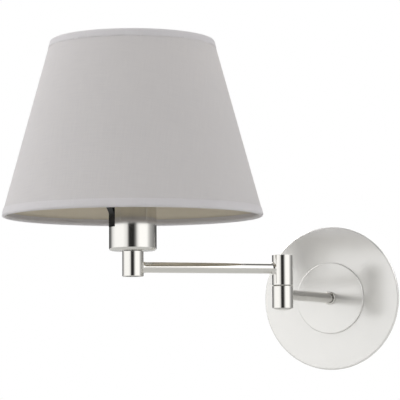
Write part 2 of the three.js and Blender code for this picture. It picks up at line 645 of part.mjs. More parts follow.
const onHinge = (geometry) => geometry.translate(0, HINGE_Y, 0);
piece('lower_barrel', onHinge(lowerBarrel()), satinNickel);
piece('hinge_cap_bottom', onHinge(domedCap().rotateX(Math.PI).translate(0, 0, BARREL_BOTTOM)), satinNickel);
piece('hinge_pin', onHinge(hingePin()), zincPlate);
piece('friction_washer', onHinge(frictionWasher()), nylon);
const stopPinTop = UPPER_BARREL_BOTTOM + STOP_GROOVE_DEPTH - GAP;
const stopPin = rod(STOP_PIN_RADIUS, LOWER_WEB_BOTTOM + GAP, stopPinTop, 16);
piece('stop_pin', onHinge(onStopCircle(stopPin, STOP_PIN_TURN)), zincPlate);
const waveWasherEdge = BARREL_BORE - 2 * GAP;
const waveWasher = ring(PIN_RADIUS + GAP, waveWasherEdge, UPPER_WEB_TOP + GAP, HINGE_NUT_BOTTOM - GAP);
piece('wave_washer', onHinge(waveWasher), zincPlate);
const hingeNut = nut(HINGE_NUT_FLATS, PIN_RADIUS + GAP, HINGE_NUT_BOTTOM, HINGE_NUT_TOP);
piece('hinge_nut', onHinge(hingeNut), zincPlate);
piece('upper_barrel', upperBarrel(), satinNickel, outerArm);
piece('hinge_cap_top', domedCap().translate(0, 0, BARREL_TOP), satinNickel, outerArm);

// ---------------------------------------------------------------- hub and cup

function hubBarrel() {
  const webBottom = HUB_TOP - HUB_WEB;
  const foot = arc(HUB_RADIUS - HUB_FOOT_RADIUS, HUB_BOTTOM + HUB_FOOT_RADIUS, HUB_FOOT_RADIUS, 270, 360);
  const body = turned([
    [HUB_BORE, HUB_BOTTOM], ...foot, [HUB_RADIUS, HUB_TOP], [THREAD_RADIUS + GAP, HUB_TOP],
    [THREAD_RADIUS + GAP, webBottom], [HUB_BORE, webBottom],
  ]);
  return cut(body, sideHole(ARM_RISE).rotateZ(Math.PI));
}

const hubNutTop = HUB_TOP - HUB_WEB - GAP;
const hubNutBottom = hubNutTop - HUB_NUT_HEIGHT;
const threadBottom = hubNutBottom - THREAD_PAST_NUT;

function threadedTube() {
  const body = ring(THREAD_BORE, THREAD_RADIUS, threadBottom, THREAD_TOP, FACETS_SMALL);
  const slotBottom = CUP_FLOOR + WIRE_SLOT_ABOVE_CUP_FLOOR;
  const across = [-WIRE_SLOT_WIDTH / 2, WIRE_SLOT_WIDTH / 2];
  const slot = block([0, 2 * THREAD_RADIUS], across, [slotBottom, slotBottom + WIRE_SLOT_HEIGHT]);
  return cut(body, slot.rotateZ(degrees(SWITCH_TURN)));
}

function cup() {
  const inner = CUP_RADIUS - CUP_WALL;
  const body = turned([
    [THREAD_RADIUS + GAP, CUP_BOTTOM],
    ...arc(CUP_RADIUS - CUP_CORNER, CUP_BOTTOM + CUP_CORNER, CUP_CORNER, 270, 360, 4),
    [CUP_RADIUS, CUP_TOP], [inner, CUP_TOP],
    ...arc(CUP_RADIUS - CUP_CORNER, CUP_BOTTOM + CUP_CORNER, CUP_CORNER - CUP_WALL, 360, 270, 4),
    [THREAD_RADIUS + GAP, CUP_FLOOR],
  ], FACETS_CUP);
  const halfWidth = SWITCH_WIDTH / 2 + GAP;
  const halfHeight = SWITCH_HEIGHT / 2 + GAP;
  const across = [-halfWidth, halfWidth];
  const heights = [SWITCH_MIDDLE - halfHeight, SWITCH_MIDDLE + halfHeight];
  const window = block([0, 2 * CUP_RADIUS], across, heights);
  return cut(body, window.rotateZ(degrees(SWITCH_TURN)));
}

piece('hub_barrel', hubBarrel(), satinNickel, head);
const hubPlug = rod(HUB_BORE - GAP, HUB_BOTTOM, HUB_BOTTOM + HUB_PLUG_HEIGHT, FACETS);
piece('hub_plug', hubPlug, satinNickel, head);
const hubNut = nut(HUB_NUT_FLATS, THREAD_RADIUS + GAP, hubNutBottom, hubNutTop);
piece('hub_nut', hubNut, zincPlate, head);
piece('threaded_tube', threadedTube(), zincPlate, head);
piece('cup', cup(), satinNickel, head);

const cupWasherTop = CUP_FLOOR + GAP + TOOTH_WASHER;
const cupNutBottom = cupWasherTop + GAP;
const cupWasher = ring(
  THREAD_RADIUS + GAP, TOOTH_WASHER_RADIUS, CUP_FLOOR + GAP, cupWasherTop, FACETS_SMALL,
);
piece('cup_washer', cupWasher, zincPlate, head);
const cupNutTop = cupNutBottom + THREAD_NUT_HEIGHT;
const cupNut = nut(THREAD_NUT_FLATS, THREAD_RADIUS + GAP, cupNutBottom, cupNutTop);
piece('cup_nut', cupNut, zincPlate, head);

// ---------------------------------------------------------------- switch

const rockerHalf = SWITCH_HEIGHT / 2 - SWITCH_FRAME; // half the height of the opening in the frame
const rockerReach = ROCKER_PROUD * Math.cos(degrees(ROCKER_TILT));
const rockerDrop = ROCKER_PROUD * Math.sin(degrees(ROCKER_TILT));
const pivotAt = ROCKER_FACE_AT - rockerReach;
const cheekInside = SWITCH_WIDTH / 2 - SWITCH_FRAME;
const rockerHalfWidth = cheekInside - GAP;

function pivotStubs(radius, reach) {
  return rod(radius, -reach, reach, 20).rotateX(Math.PI / 2).translate(pivotAt, 0, SWITCH_MIDDLE);
}

function switchHousing() {
  const back = SWITCH_FACE - SWITCH_DEPTH;
  const halfWidth = SWITCH_WIDTH / 2;
  const halfHeight = SWITCH_HEIGHT / 2;
  const heights = (half) => [SWITCH_MIDDLE - half, SWITCH_MIDDLE + half];
  const body = block([back, SWITCH_FACE], [-halfWidth, halfWidth], heights(halfHeight));
  const wellAcross = [-cheekInside, cheekInside];
  const well = block([back + SWITCH_FLOOR, 2 * SWITCH_FACE], wellAcross, heights(rockerHalf));
  return cut(body, well, pivotStubs(ROCKER_PIVOT_RADIUS + GAP, SWITCH_WIDTH));
}

// The rocker is drawn about its pivot, with its dished face outwards, and tilted so that its lower
// half is in.
function switchRocker() {
  const end = (rockerHalf - rockerDrop - GAP) * Math.cos(degrees(ROCKER_TILT));
  const slope = Math.tan(degrees(ROCKER_TILT));
  const faceAt = (v) => ROCKER_PROUD - ROCKER_HOLLOW + Math.hypot(slope * v, ROCKER_HOLLOW);
  const steps = 12;
  const face = Array.from({ length: steps + 1 }, (_, i) => {
    const v = end * ((2 * i) / steps - 1);
    return [faceAt(v), v];
  });
  const rim = faceAt(end) - ROCKER_EDGE;
  const belly = [[rim, end], [-ROCKER_BELLY, 0.4 * end], [-ROCKER_BELLY, -0.4 * end], [rim, -end]];
  const body = prism([...face, ...belly], -rockerHalfWidth, rockerHalfWidth);
  body.rotateX(Math.PI / 2).rotateY(degrees(ROCKER_TILT)).translate(pivotAt, 0, SWITCH_MIDDLE);
  return join(body, pivotStubs(ROCKER_PIVOT_RADIUS, SWITCH_WIDTH / 2));
}

piece('switch_housing', switchHousing(), blackPlastic, switchPlace);
piece('switch_rocker', switchRocker(), blackPlastic, switchPlace);

const tabTip = THREAD_RADIUS + TAB_TO_THREAD;
const tabRoot = SWITCH_FACE - SWITCH_DEPTH - GAP;
const wireBeside = TAB_HALF_WIDTH + GAP + SWITCH_WIRE_RADIUS;
const wireLevel = CUP_FLOOR + WIRE_SLOT_ABOVE_CUP_FLOOR + WIRE_SLOT_HEIGHT / 2;
[-1, 1].forEach((side, i) => {
  const middle = SWITCH_MIDDLE + side * TAB_AT;
  const heights = [middle - TAB_THICKNESS / 2, middle + TAB_THICKNESS / 2];
  const tab = block([tabTip, tabRoot], [-TAB_HALF_WIDTH, TAB_HALF_WIDTH], heights);
  piece(`switch_tab_${i + 1}`, tab, brass, switchPlace);
  const route = [
    [THREAD_RADIUS + GAP, side * (SWITCH_WIRE_RADIUS + GAP), wireLevel],
    [tabRoot - SWITCH_WIRE_BEND, side * wireBeside, wireLevel],
    [tabRoot - SWITCH_WIRE_BEND, side * wireBeside, middle],
  ];
  const lead = wire(route, SWITCH_WIRE_RADIUS, SWITCH_WIRE_BEND);
  piece(`switch_wire_${i + 1}`, lead, blackPlastic, switchPlace);
});

// ---------------------------------------------------------------- lampholder

function holderBase() {
  const inner = HOLDER_RADIUS - HOLDER_WALL;
  const bore = THREAD_RADIUS + GAP;
  const foot = HOLDER_BOTTOM - HOLDER_NECK;
  return turned([
    [bore, foot], [HOLDER_NECK_RADIUS, foot], [HOLDER_NECK_RADIUS, HOLDER_BOTTOM],
    ...arc(HOLDER_RADIUS - HOLDER_SHOULDER, HOLDER_BOTTOM + HOLDER_SHOULDER, HOLDER_SHOULDER, 270, 360),
    [HOLDER_RADIUS, HOLDER_SEAM - GAP], [inner, HOLDER_SEAM - GAP],
    [inner, HOLDER_BOTTOM + HOLDER_WALL + HOLDER_SHOULDER], [bore, HOLDER_BOTTOM + HOLDER_WALL + 1],
  ]);
}

function holderShell() {
  const inner = HOLDER_RADIUS - HOLDER_WALL;
  const underLip = HOLDER_TOP - HOLDER_LIP;
  return turned([
    [inner, HOLDER_SEAM], [HOLDER_RADIUS, HOLDER_SEAM], ...arc(HOLDER_RADIUS - 1, HOLDER_TOP - 1, 1, 0, 90),
    [HOLDER_MOUTH, HOLDER_TOP], [HOLDER_MOUTH, underLip], [inner, underLip],
  ]);
}

function screwShell() {
  const inner = SCREW_SHELL_RADIUS - SCREW_SHELL_WALL;
  return ring(inner, SCREW_SHELL_RADIUS, INSERT_TOP + GAP, INSERT_TOP + GAP + SCREW_SHELL_HEIGHT);
}

piece('lampholder_base', holderBase(), whitePlastic, head);
piece('lampholder_shell', holderShell(), whitePlastic, head);
const insertRadius = HOLDER_RADIUS - HOLDER_WALL - GAP;
piece('lampholder_insert', rod(insertRadius, INSERT_BOTTOM, INSERT_TOP, FACETS), porcelain, head);
piece('screw_contact', screwShell(), brass, head);

// A strip of spring brass: flat where it is riveted down, then up to a ridge that presses on the bulb's tip.
function centreContact() {
  const ridge = CONTACT_RISE - 2 * GAP;
  const fold = CONTACT_FLAT - CONTACT_TAIL; // where the strip leaves the porcelain
  const strip = [
    [-CONTACT_TAIL, 0], [-CONTACT_TAIL, CONTACT_THICKNESS], [fold, CONTACT_THICKNESS], [0, ridge],
    [CONTACT_NOSE, 1 + CONTACT_THICKNESS], [CONTACT_NOSE, 1], [0, ridge - CONTACT_THICKNESS],
    [fold + GAP / 2, 0],
  ];
  const body = prism(strip, -CONTACT_WIDTH / 2, CONTACT_WIDTH / 2);
  return body.rotateX(Math.PI / 2).translate(0, 0, INSERT_TOP + GAP);
}

piece('centre_contact', centreContact(), brass, head);

const ringNutBottom = FITTER_TOP + GAP;
piece('ring_nut', ring(
  HOLDER_RADIUS + GAP, RING_NUT_RADIUS, ringNutBottom, ringNutBottom + RING_NUT_HEIGHT, FACETS,
), whitePlastic, head);

// ---------------------------------------------------------------- bulb

function bulbCap() {
  const tip = 5;
  return turned([
    [0, BULB_TIP], [tip, BULB_TIP], [tip, BULB_TIP + 1.5], [BULB_CAP_RADIUS - 2, BULB_TIP + 5],
    [BULB_CAP_RADIUS, BULB_TIP + 6.5], [BULB_CAP_RADIUS, BULB_CAP_TOP], [0, BULB_CAP_TOP],
  ]);
}

const globeMiddle = BULB_TOP - BULB_RADIUS;
const seamRadius = BULB_RADIUS * Math.cos(degrees(BULB_SEAM));
const seamZ = globeMiddle + BULB_RADIUS * Math.sin(degrees(BULB_SEAM));

function bulbBody() {
  const neckBottom = BULB_CAP_TOP + GAP;
  const flare = new THREE.CubicBezierCurve(
    new THREE.Vector2(BULB_CAP_RADIUS + 0.6, neckBottom),
    new THREE.Vector2(BULB_CAP_RADIUS + 1.2, neckBottom + 14),
    new THREE.Vector2(seamRadius - 8, seamZ - 14),
    new THREE.Vector2(seamRadius, seamZ - GAP),
  );
  const side = flare.getPoints(7).map((p) => [p.x, p.y]);
  return turned([[0, neckBottom], ...side, [0, seamZ - GAP]], FACETS_BULB);
}

function bulbDome() {
  const outer = arc(0, globeMiddle, BULB_RADIUS, BULB_SEAM, 90, 9);
  const inner = arc(0, globeMiddle, BULB_RADIUS - BULB_WALL, 90, BULB_SEAM, 9);
  return turned([...outer, ...inner], FACETS_BULB);
}

piece('bulb_cap', bulbCap(), zincPlate, head);
piece('bulb_body', bulbBody(), whitePlastic, head);
piece('bulb_dome', bulbDome(), frostedDome, head);

// ---------------------------------------------------------------- shade

const shadeSlope = Math.atan2(SHADE_BOTTOM_RADIUS - SHADE_TOP_RADIUS, SHADE_HEIGHT);
const shadeSkin = SHADE_WALL / Math.cos(shadeSlope); // the wall measured level
const shadeRadiusAt = (z) => SHADE_BOTTOM_RADIUS - (z - SHADE_BOTTOM) * Math.tan(shadeSlope);
// A wire ring lies against the inside of the fabric.
const wireInset = shadeSkin + (WIRE_RADIUS + GAP) / Math.cos(shadeSlope);
const bottomWireZ = SHADE_BOTTOM + WIRE_RADIUS + GAP;
const topWireZ = SHADE_TOP - WIRE_RADIUS - GAP;
const wireRing = (z) => {
  const section = circle(WIRE_RADIUS, WIRE_SIDES).map(([x, y]) => [shadeRadiusAt(z) - wireInset + x, z + y]);
  return turned(section, FACETS_LARGE);
};

function shadeFabric() {
  return turned([
    [SHADE_BOTTOM_RADIUS - shadeSkin, SHADE_BOTTOM], [SHADE_BOTTOM_RADIUS, SHADE_BOTTOM],
    [SHADE_TOP_RADIUS, SHADE_TOP], [SHADE_TOP_RADIUS - shadeSkin, SHADE_TOP],
  ], FACETS_LARGE);
}

// The bottom ring, the spokes that rise from it and the flat ring that the lampholder's ring nut clamps.
function shadeFrame() {
  const fitterEdge = CUP_RADIUS + FITTER_PAST_CUP;
  const fitterMiddle = (FITTER_BOTTOM + FITTER_TOP) / 2;
  const spokes = Array.from({ length: SPOKE_COUNT }, (_, i) => {
    const start = [shadeRadiusAt(bottomWireZ) - wireInset, 0, bottomWireZ];
    const knee = [fitterEdge + KNEE_FROM_FITTER, 0, fitterMiddle];
    const route = [start, knee, [fitterEdge - 1, 0, fitterMiddle]];
    const spoke = wire(route, WIRE_RADIUS, SPOKE_BEND, WIRE_SIDES);
    return spoke.rotateZ(degrees(SPOKE_TURN + (i * 360) / SPOKE_COUNT));
  });
  const fitter = ring(FITTER_BORE, fitterEdge, FITTER_BOTTOM, FITTER_TOP);
  return join(wireRing(bottomWireZ), ...spokes, fitter);
}

piece('shade_fabric', shadeFabric(), fabric, head);
piece('shade_frame', shadeFrame(), whiteSteel, head);
piece('shade_top_ring', wireRing(topWireZ), whiteSteel, head);

export default lamp;
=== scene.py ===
import math

import bmesh
import bpy
from mathutils import Matrix, Vector


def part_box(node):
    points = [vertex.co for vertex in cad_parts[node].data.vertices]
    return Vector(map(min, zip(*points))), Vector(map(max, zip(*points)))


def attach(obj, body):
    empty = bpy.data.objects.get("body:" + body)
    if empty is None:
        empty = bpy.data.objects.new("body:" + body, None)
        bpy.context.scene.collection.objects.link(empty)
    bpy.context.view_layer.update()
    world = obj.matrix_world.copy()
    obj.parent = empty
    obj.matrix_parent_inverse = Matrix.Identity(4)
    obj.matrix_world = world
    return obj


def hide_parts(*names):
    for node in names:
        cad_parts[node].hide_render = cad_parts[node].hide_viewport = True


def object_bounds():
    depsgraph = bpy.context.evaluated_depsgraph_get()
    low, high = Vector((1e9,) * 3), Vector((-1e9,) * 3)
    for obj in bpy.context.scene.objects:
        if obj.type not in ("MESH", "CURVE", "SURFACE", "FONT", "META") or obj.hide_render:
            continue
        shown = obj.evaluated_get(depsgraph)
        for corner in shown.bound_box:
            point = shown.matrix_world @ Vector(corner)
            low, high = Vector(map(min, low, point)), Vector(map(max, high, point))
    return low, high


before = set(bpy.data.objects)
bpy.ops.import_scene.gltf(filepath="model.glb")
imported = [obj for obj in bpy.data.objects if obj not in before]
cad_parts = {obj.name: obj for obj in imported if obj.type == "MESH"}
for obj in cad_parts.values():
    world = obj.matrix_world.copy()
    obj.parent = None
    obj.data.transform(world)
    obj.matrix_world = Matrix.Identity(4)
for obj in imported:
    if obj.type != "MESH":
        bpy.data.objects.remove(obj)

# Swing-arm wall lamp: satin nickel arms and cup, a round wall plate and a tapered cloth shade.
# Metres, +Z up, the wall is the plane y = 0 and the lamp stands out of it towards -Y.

cad_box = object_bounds()
MM = 0.001

# ---------------------------------------------------------------- places, taken from the frame


def corners_of(node):
    return [v.co.copy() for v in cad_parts[node].data.vertices]


def middle_of(node):
    low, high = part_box(node)
    return (low + high) / 2


def from_axis(p, centre):
    """How far a point lies from an upright axis."""
    return (Vector(p[:2]) - Vector(centre[:2])).length


def reach(node, centre):
    """The farthest that a node's corners lie from an upright axis."""
    return max(from_axis(p, centre) for p in corners_of(node))


def extent(node, direction):
    """How far along a direction a node's corners start and end."""
    along = [p.dot(direction) for p in corners_of(node)]
    return min(along), max(along)


HINGE = middle_of("lower_barrel")
HEAD = middle_of("hub_nut")
WALL_AXIS = middle_of("cover_plate")
BARREL_RADIUS = reach("lower_barrel", HINGE)
HUB_RADIUS = reach("hub_barrel", HEAD)
ARM_LEVEL = middle_of("long_arm_tube").z
FLANGE_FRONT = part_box("arm_flange")[0].y
BRAZE_RADIUS = 2.5 * MM
BRAZE_BEND = math.radians(62)  # how far round the fillet goes before it meets the barrel

hinge_to_head = Vector((HEAD.x - HINGE.x, HEAD.y - HINGE.y, 0))
ARM_ALONG = hinge_to_head.normalized()
ARM_LENGTH = hinge_to_head.length
UP = Vector((0, 0, 1))

switch_middle = middle_of("switch_housing")
SWITCH_OUT = Vector((switch_middle.x - HEAD.x, switch_middle.y - HEAD.y, 0)).normalized()
SWITCH_ACROSS = UP.cross(SWITCH_OUT)


def plain_tube():
    """The bore and outer radius of the arms' tube, read at the short arm's foot, where nothing widens it."""
    corners = corners_of("short_arm_tube")
    foot = max(p.y for p in corners)
    radii = [math.hypot(p.x - WALL_AXIS.x, p.z - WALL_AXIS.z) for p in corners if p.y > foot - 1 * MM]
    return min(radii), max(radii)


TUBE_BORE, TUBE_RADIUS = plain_tube()

# ---------------------------------------------------------------- materials


def linear(hex_colour):
    """A colour written as sRGB hex, turned to the linear values that shaders take."""
    parts = [int(hex_colour[i:i + 2], 16) / 255 for i in (1, 3, 5)]
    return tuple(c / 12.92 if c <= 0.04045 else ((c + 0.055) / 1.055) ** 2.4 for c in parts) + (1.0,)


def add(tree, kind, inputs=None, **settings):
    """Adds a node. An input takes a value, or another node's output socket, which is linked to it."""
    made = tree.nodes.new(kind)
    for name, value in settings.items():
        setattr(made, name, value)
    for name, value in (inputs or {}).items():
        if isinstance(value, bpy.types.NodeSocket):
            tree.links.new(value, made.inputs[name])
        else:
            made.inputs[name].default_value = value
    return made


def begin(name):
    """A new material's node tree, with its shader already joined to its output."""
    finish = bpy.data.materials.new(name)
    finish.use_nodes = True
    tree = finish.node_tree
    tree.nodes.clear()
    shader = add(tree, "ShaderNodeBsdfPrincipled")
    add(tree, "ShaderNodeOutputMaterial", {"Surface": shader.outputs["BSDF"]})
    return finish, tree, shader


def grain(tree, scale, stretch=(1, 1, 1), detail=3.0):
    """Fine noise on Object coordinates. scale is the size of one grain in metres."""
    place = add(tree, "ShaderNodeTexCoord")
    sized = add(tree, "ShaderNodeMapping", {
        "Vector": place.outputs["Object"], "Scale": tuple(s / scale for s in stretch)})
    return add(tree, "ShaderNodeTexNoise", {
        "Vector": sized.outputs["Vector"], "Scale": 1.0, "Detail": detail, "Roughness": 0.55})


def spread(tree, value, low, high):
    """Turns a noise pattern, most of which lies from 0.25 to 0.75, into a range of values."""
    return add(tree, "ShaderNodeMapRange", {
        "Value": value, "From Min": 0.25, "From Max": 0.75, "To Min": low, "To Max": high}).outputs["Result"]


def tint(tree, value, dark, light):
    """Mixes two colours by a pattern. A colour mix has its inputs 6 and 7 and its output 2 for colours."""
    mixed = add(tree, "ShaderNodeMix", data_type="RGBA")
    tree.links.new(value, mixed.inputs["Factor"])
    mixed.inputs[6].default_value = linear(dark)
    mixed.inputs[7].default_value = linear(light)
    return mixed.outputs[2]


def bump(tree, height, depth):
    return add(tree, "ShaderNodeBump", {
        "Height": height, "Distance": depth, "Strength": 1.0}).outputs["Normal"]


def satin_nickel(name, dark, light, roughness, stretch, metallic=1.0):
    """Nickel plate over brass, brushed with a fine wheel: soft-edged but clear reflections, hardly any
    colour, and a faint grain that runs the way the wheel ran. Under one, metallic stands for a clear
    lacquer that veils the metal with a pale haze."""
    finish, tree, shader = begin(name)
    brushed = grain(tree, 0.9 * MM, stretch)  # real brush marks are about 0.1 mm apart, too fine to show
    clouded = grain(tree, 22 * MM, detail=1.0)
    shader.inputs["Metallic"].default_value = metallic
    tree.links.new(tint(tree, clouded.outputs["Fac"], dark, light), shader.inputs["Base Color"])
    rough = spread(tree, brushed.outputs["Fac"], roughness - 0.01, roughness + 0.012)
    tree.links.new(rough, shader.inputs["Roughness"])
    tree.links.new(bump(tree, brushed.outputs["Fac"], 0.0015 * MM), shader.inputs["Normal"])
    return finish


def zinc_plated_steel():
    """Bright zinc on pressed steel: grey with a blue cast, and a spangled, slightly uneven shine."""
    finish, tree, shader = begin("zinc_plated_steel")
    spangle = grain(tree, 1.6 * MM)
    shader.inputs["Metallic"].default_value = 1.0
    tree.links.new(tint(tree, spangle.outputs["Fac"], "#a4a9ae", "#bfc3c6"), shader.inputs["Base Color"])
    tree.links.new(spread(tree, spangle.outputs["Fac"], 0.28, 0.42), shader.inputs["Roughness"])
    tree.links.new(bump(tree, spangle.outputs["Fac"], 0.02 * MM), shader.inputs["Normal"])
    return finish


def rolled_brass():
    """Brass strip and turned brass: yellow, drawn fine, a little darker where it was handled."""
    finish, tree, shader = begin("rolled_brass")
    drawn = grain(tree, 1.2 * MM, (1, 1, 0.2))
    shader.inputs["Metallic"].default_value = 1.0
    tree.links.new(tint(tree, drawn.outputs["Fac"], "#c39a48", "#d9b868"), shader.inputs["Base Color"])
    tree.links.new(spread(tree, drawn.outputs["Fac"], 0.24, 0.36), shader.inputs["Roughness"])
    tree.links.new(bump(tree, drawn.outputs["Fac"], 0.01 * MM), shader.inputs["Normal"])
    return finish


def plastic(name, dark, light, roughness, grain_size=0.8 * MM, depth=0.006 * MM, specular=0.5):
    """Injection-moulded plastic: the tool's fine spark-eroded texture breaks up the highlight."""
    finish, tree, shader = begin(name)
    eroded = grain(tree, grain_size)
    tree.links.new(tint(tree, eroded.outputs["Fac"], dark, light), shader.inputs["Base Color"])
    rough = spread(tree, eroded.outputs["Fac"], roughness - 0.04, roughness + 0.05)
    tree.links.new(rough, shader.inputs["Roughness"])
    shader.inputs["Specular IOR Level"].default_value = specular
    tree.links.new(bump(tree, eroded.outputs["Fac"], depth), shader.inputs["Normal"])
    return finish


def powder_coated_wire():
    """White epoxy powder baked on steel wire: an even coat with a shallow orange peel."""
    finish, tree, shader = begin("white_powder_coat")
    peel = grain(tree, 1.1 * MM, detail=1.0)
    tree.links.new(tint(tree, peel.outputs["Fac"], "#dfddd6", "#e9e7e1"), shader.inputs["Base Color"])
    shader.inputs["Roughness"].default_value = 0.42
    tree.links.new(bump(tree, peel.outputs["Fac"], 0.03 * MM), shader.inputs["Normal"])
    return finish


def glazed_porcelain():
    """Fired and glazed: white, glassy, with a faint wave in the glaze."""
    finish, tree, shader = begin("glazed_porcelain")
    wave = grain(tree, 5 * MM, detail=1.0)
    tree.links.new(tint(tree, wave.outputs["Fac"], "#efebe2", "#f6f3ec"), shader.inputs["Base Color"])
    shader.inputs["Roughness"].default_value = 0.16
    tree.links.new(bump(tree, wave.outputs["Fac"], 0.05 * MM), shader.inputs["Normal"])
    return finish


def frosted_polycarbonate():
    """The diffuser of an LED bulb: milk-white and moulded matt, so it glows softly under the light on it."""
    finish, tree, shader = begin("frosted_polycarbonate")
    frost = grain(tree, 0.7 * MM)
    tree.links.new(tint(tree, frost.outputs["Fac"], "#f0efea", "#f7f6f2"), shader.inputs["Base Color"])
    shader.inputs["Roughness"].default_value = 0.38
    shader.inputs["Subsurface Weight"].default_value = 0.25
    shader.inputs["Subsurface Radius"].default_value = (3 * MM, 3 * MM, 2.6 * MM)
    shader.inputs["Subsurface Scale"].default_value = 1.0
    tree.links.new(bump(tree, frost.outputs["Fac"], 0.008 * MM), shader.inputs["Normal"])
    return finish


THREAD_SPACING = 0.95 * MM  # a percale's threads are 0.35 mm apart; drawn wider so that the weave shows
WEAVE_DEPTH = 0.05 * MM


def weave(tree, spacing):
    """A plain weave in the cloth's own flat cut: warp and weft pass over each other in turn.
    Returns the height of the cloth and a slow unevenness of its yarns, both from 0 to 1."""
    cut = add(tree, "ShaderNodeUVMap", uv_map="cut")
    across = add(tree, "ShaderNodeSeparateXYZ", {"Vector": cut.outputs["UV"]})

    def wave(value, size):
        turned = add(tree, "ShaderNodeMath", {0: value, 1: math.pi / size}, operation="MULTIPLY")
        return add(tree, "ShaderNodeMath", {0: turned.outputs[0]}, operation="SINE").outputs[0]

    over = add(tree, "ShaderNodeMath", {
        0: wave(across.outputs["X"], spacing), 1: wave(across.outputs["Y"], spacing)}, operation="MULTIPLY")
    height = add(tree, "ShaderNodeMath", {0: over.outputs[0], 1: 0.5, 2: 0.5}, operation="MULTIPLY_ADD")
    slubs = []
    for stretch in ((1 / spacing, 0.04 / spacing, 1), (0.04 / spacing, 1 / spacing, 1)):
        laid = add(tree, "ShaderNodeMapping", {"Vector": cut.outputs["UV"], "Scale": stretch})
        slubs.append(add(tree, "ShaderNodeTexNoise", {
            "Vector": laid.outputs["Vector"], "Scale": 1.0, "Detail": 2.0}).outputs["Fac"])
    uneven = add(tree, "ShaderNodeMath", {0: slubs[0], 1: slubs[1]}, operation="ADD")
    halved = add(tree, "ShaderNodeMath", {0: uneven.outputs[0], 1: 0.5}, operation="MULTIPLY")
    return height.outputs[0], halved.outputs[0]


def let_light_through(tree, shader, colour, share):
    """Mixes in light that passes through a thin sheet from its far side."""
    output = next(n for n in tree.nodes if n.bl_idname == "ShaderNodeOutputMaterial")
    through = add(tree, "ShaderNodeBsdfTranslucent", {"Color": colour})
    both = add(tree, "ShaderNodeMixShader", {0: share, 1: shader.outputs[0], 2: through.outputs[0]})
    tree.links.new(both.outputs[0], output.inputs["Surface"])


def percale(name, dark, light):
    """Cotton-polyester percale, woven plain and laminated flat: matt, with a dry sheen at grazing angles,
    and yarns whose thickness wanders a little."""
    finish, tree, shader = begin(name)
    height, uneven = weave(tree, THREAD_SPACING)
    pattern = add(tree, "ShaderNodeMath", {0: height, 1: 0.25, 2: uneven}, operation="MULTIPLY_ADD")
    colour = tint(tree, spread(tree, pattern.outputs[0], 0.0, 1.0), dark, light)
    tree.links.new(colour, shader.inputs["Base Color"])
    let_light_through(tree, shader, colour, 0.42)
    shader.inputs["Roughness"].default_value = 0.9
    shader.inputs["Specular IOR Level"].default_value = 0.25
    shader.inputs["Sheen Weight"].default_value = 0.12
    shader.inputs["Sheen Roughness"].default_value = 0.5
    relief = add(tree, "ShaderNodeMath", {0: uneven, 1: 0.6, 2: height}, operation="MULTIPLY_ADD")
    tree.links.new(bump(tree, relief.outputs[0], WEAVE_DEPTH), shader.inputs["Normal"])
    return finish


def styrene_lining():
    """Ivory styrene sheet that the cloth is laminated to: smooth, eggshell matt, and slightly mottled by
    the glue."""
    finish, tree, shader = begin("ivory_styrene")
    mottle = grain(tree, 9 * MM, detail=4.0)
    colour = tint(tree, mottle.outputs["Fac"], "#ece7da", "#f1ece1")
    tree.links.new(colour, shader.inputs["Base Color"])
    let_light_through(tree, shader, colour, 0.55)
    shader.inputs["Roughness"].default_value = 0.55
    tree.links.new(bump(tree, mottle.outputs["Fac"], 0.05 * MM), shader.inputs["Normal"])
    return finish


NICKEL = satin_nickel("satin_nickel", "#d9d8d4", "#dddbd7", 0.07, (1, 1, 0.12))
PLATE_NICKEL = satin_nickel("spun_satin_nickel", "#e6e5e3", "#e9e8e6", 0.16, (0.12, 1, 1), 0.45)
ZINC = zinc_plated_steel()
BRASS = rolled_brass()
BLACK = plastic("black_polyamide", "#050505", "#080808", 0.35, specular=0.08)  # it hardly shines
WHITE = plastic("white_thermoplastic", "#e4e2da", "#ebe9e2", 0.4)
SPLIT_SHADE_NYLON = plastic("natural_nylon", "#c9c7c0", "#d4d2cb", 0.5)  # nylon, toned grey as painted shade for the dark split between the hinge barrels
JACKET = plastic("lead_sheath", "#d3d3cf", "#dcdcd8", 0.55, 2 * MM, 0.02 * MM)  # soft and slightly rippled
COATED = powder_coated_wire()
PORCELAIN = glazed_porcelain()
FROSTED = frosted_polycarbonate()
CLOTH = percale("percale_cloth", "#dedcde", "#e6e4e5")
TRIM = percale("percale_trim", "#e6e4e6", "#eceaec")
LINING = styrene_lining()

# ---------------------------------------------------------------- mesh helpers

SHARP_EDGE = 35  # degrees between two faces, past which their edge stays sharp
GENTLE_BEND = math.radians(38)  # a smaller turn in an outline is part of a curve
ON_AXIS = 0.001 * MM
WELD = 0.002 * MM  # corners of a CAD node's loose triangles that are nearer than this are one corner


def to_piece(name, mesh, material, body, node=None):
    """Links a finished mesh as a piece that rides on a body and may stand for a CAD node."""
    piece = bpy.data.objects.new(name, mesh)
    bpy.context.scene.collection.objects.link(piece)
    mesh.materials.clear()
    mesh.materials.append(material)
    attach(piece, body)
    if node:
        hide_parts(node)
    return piece


def tidy_mesh(mesh, sharp=SHARP_EDGE):
    """Merges doubles, turns every face outwards and smooths all edges but the sharp ones."""
    shape = bmesh.new()
    shape.from_mesh(mesh)
    bmesh.ops.remove_doubles(shape, verts=shape.verts, dist=0.0005 * MM)
    bmesh.ops.recalc_face_normals(shape, faces=shape.faces)
    shape.to_mesh(mesh)
    shape.free()
    mesh.shade_smooth()
    mesh.set_sharp_from_angle(angle=math.radians(sharp))
    return mesh


def weigh_normals(piece):
    """Lets large flat faces keep their own shading beside narrow rounded edges."""
    weighted = piece.modifiers.new("weighted_normals", "WEIGHTED_NORMAL")
    weighted.keep_sharp = True
    return piece


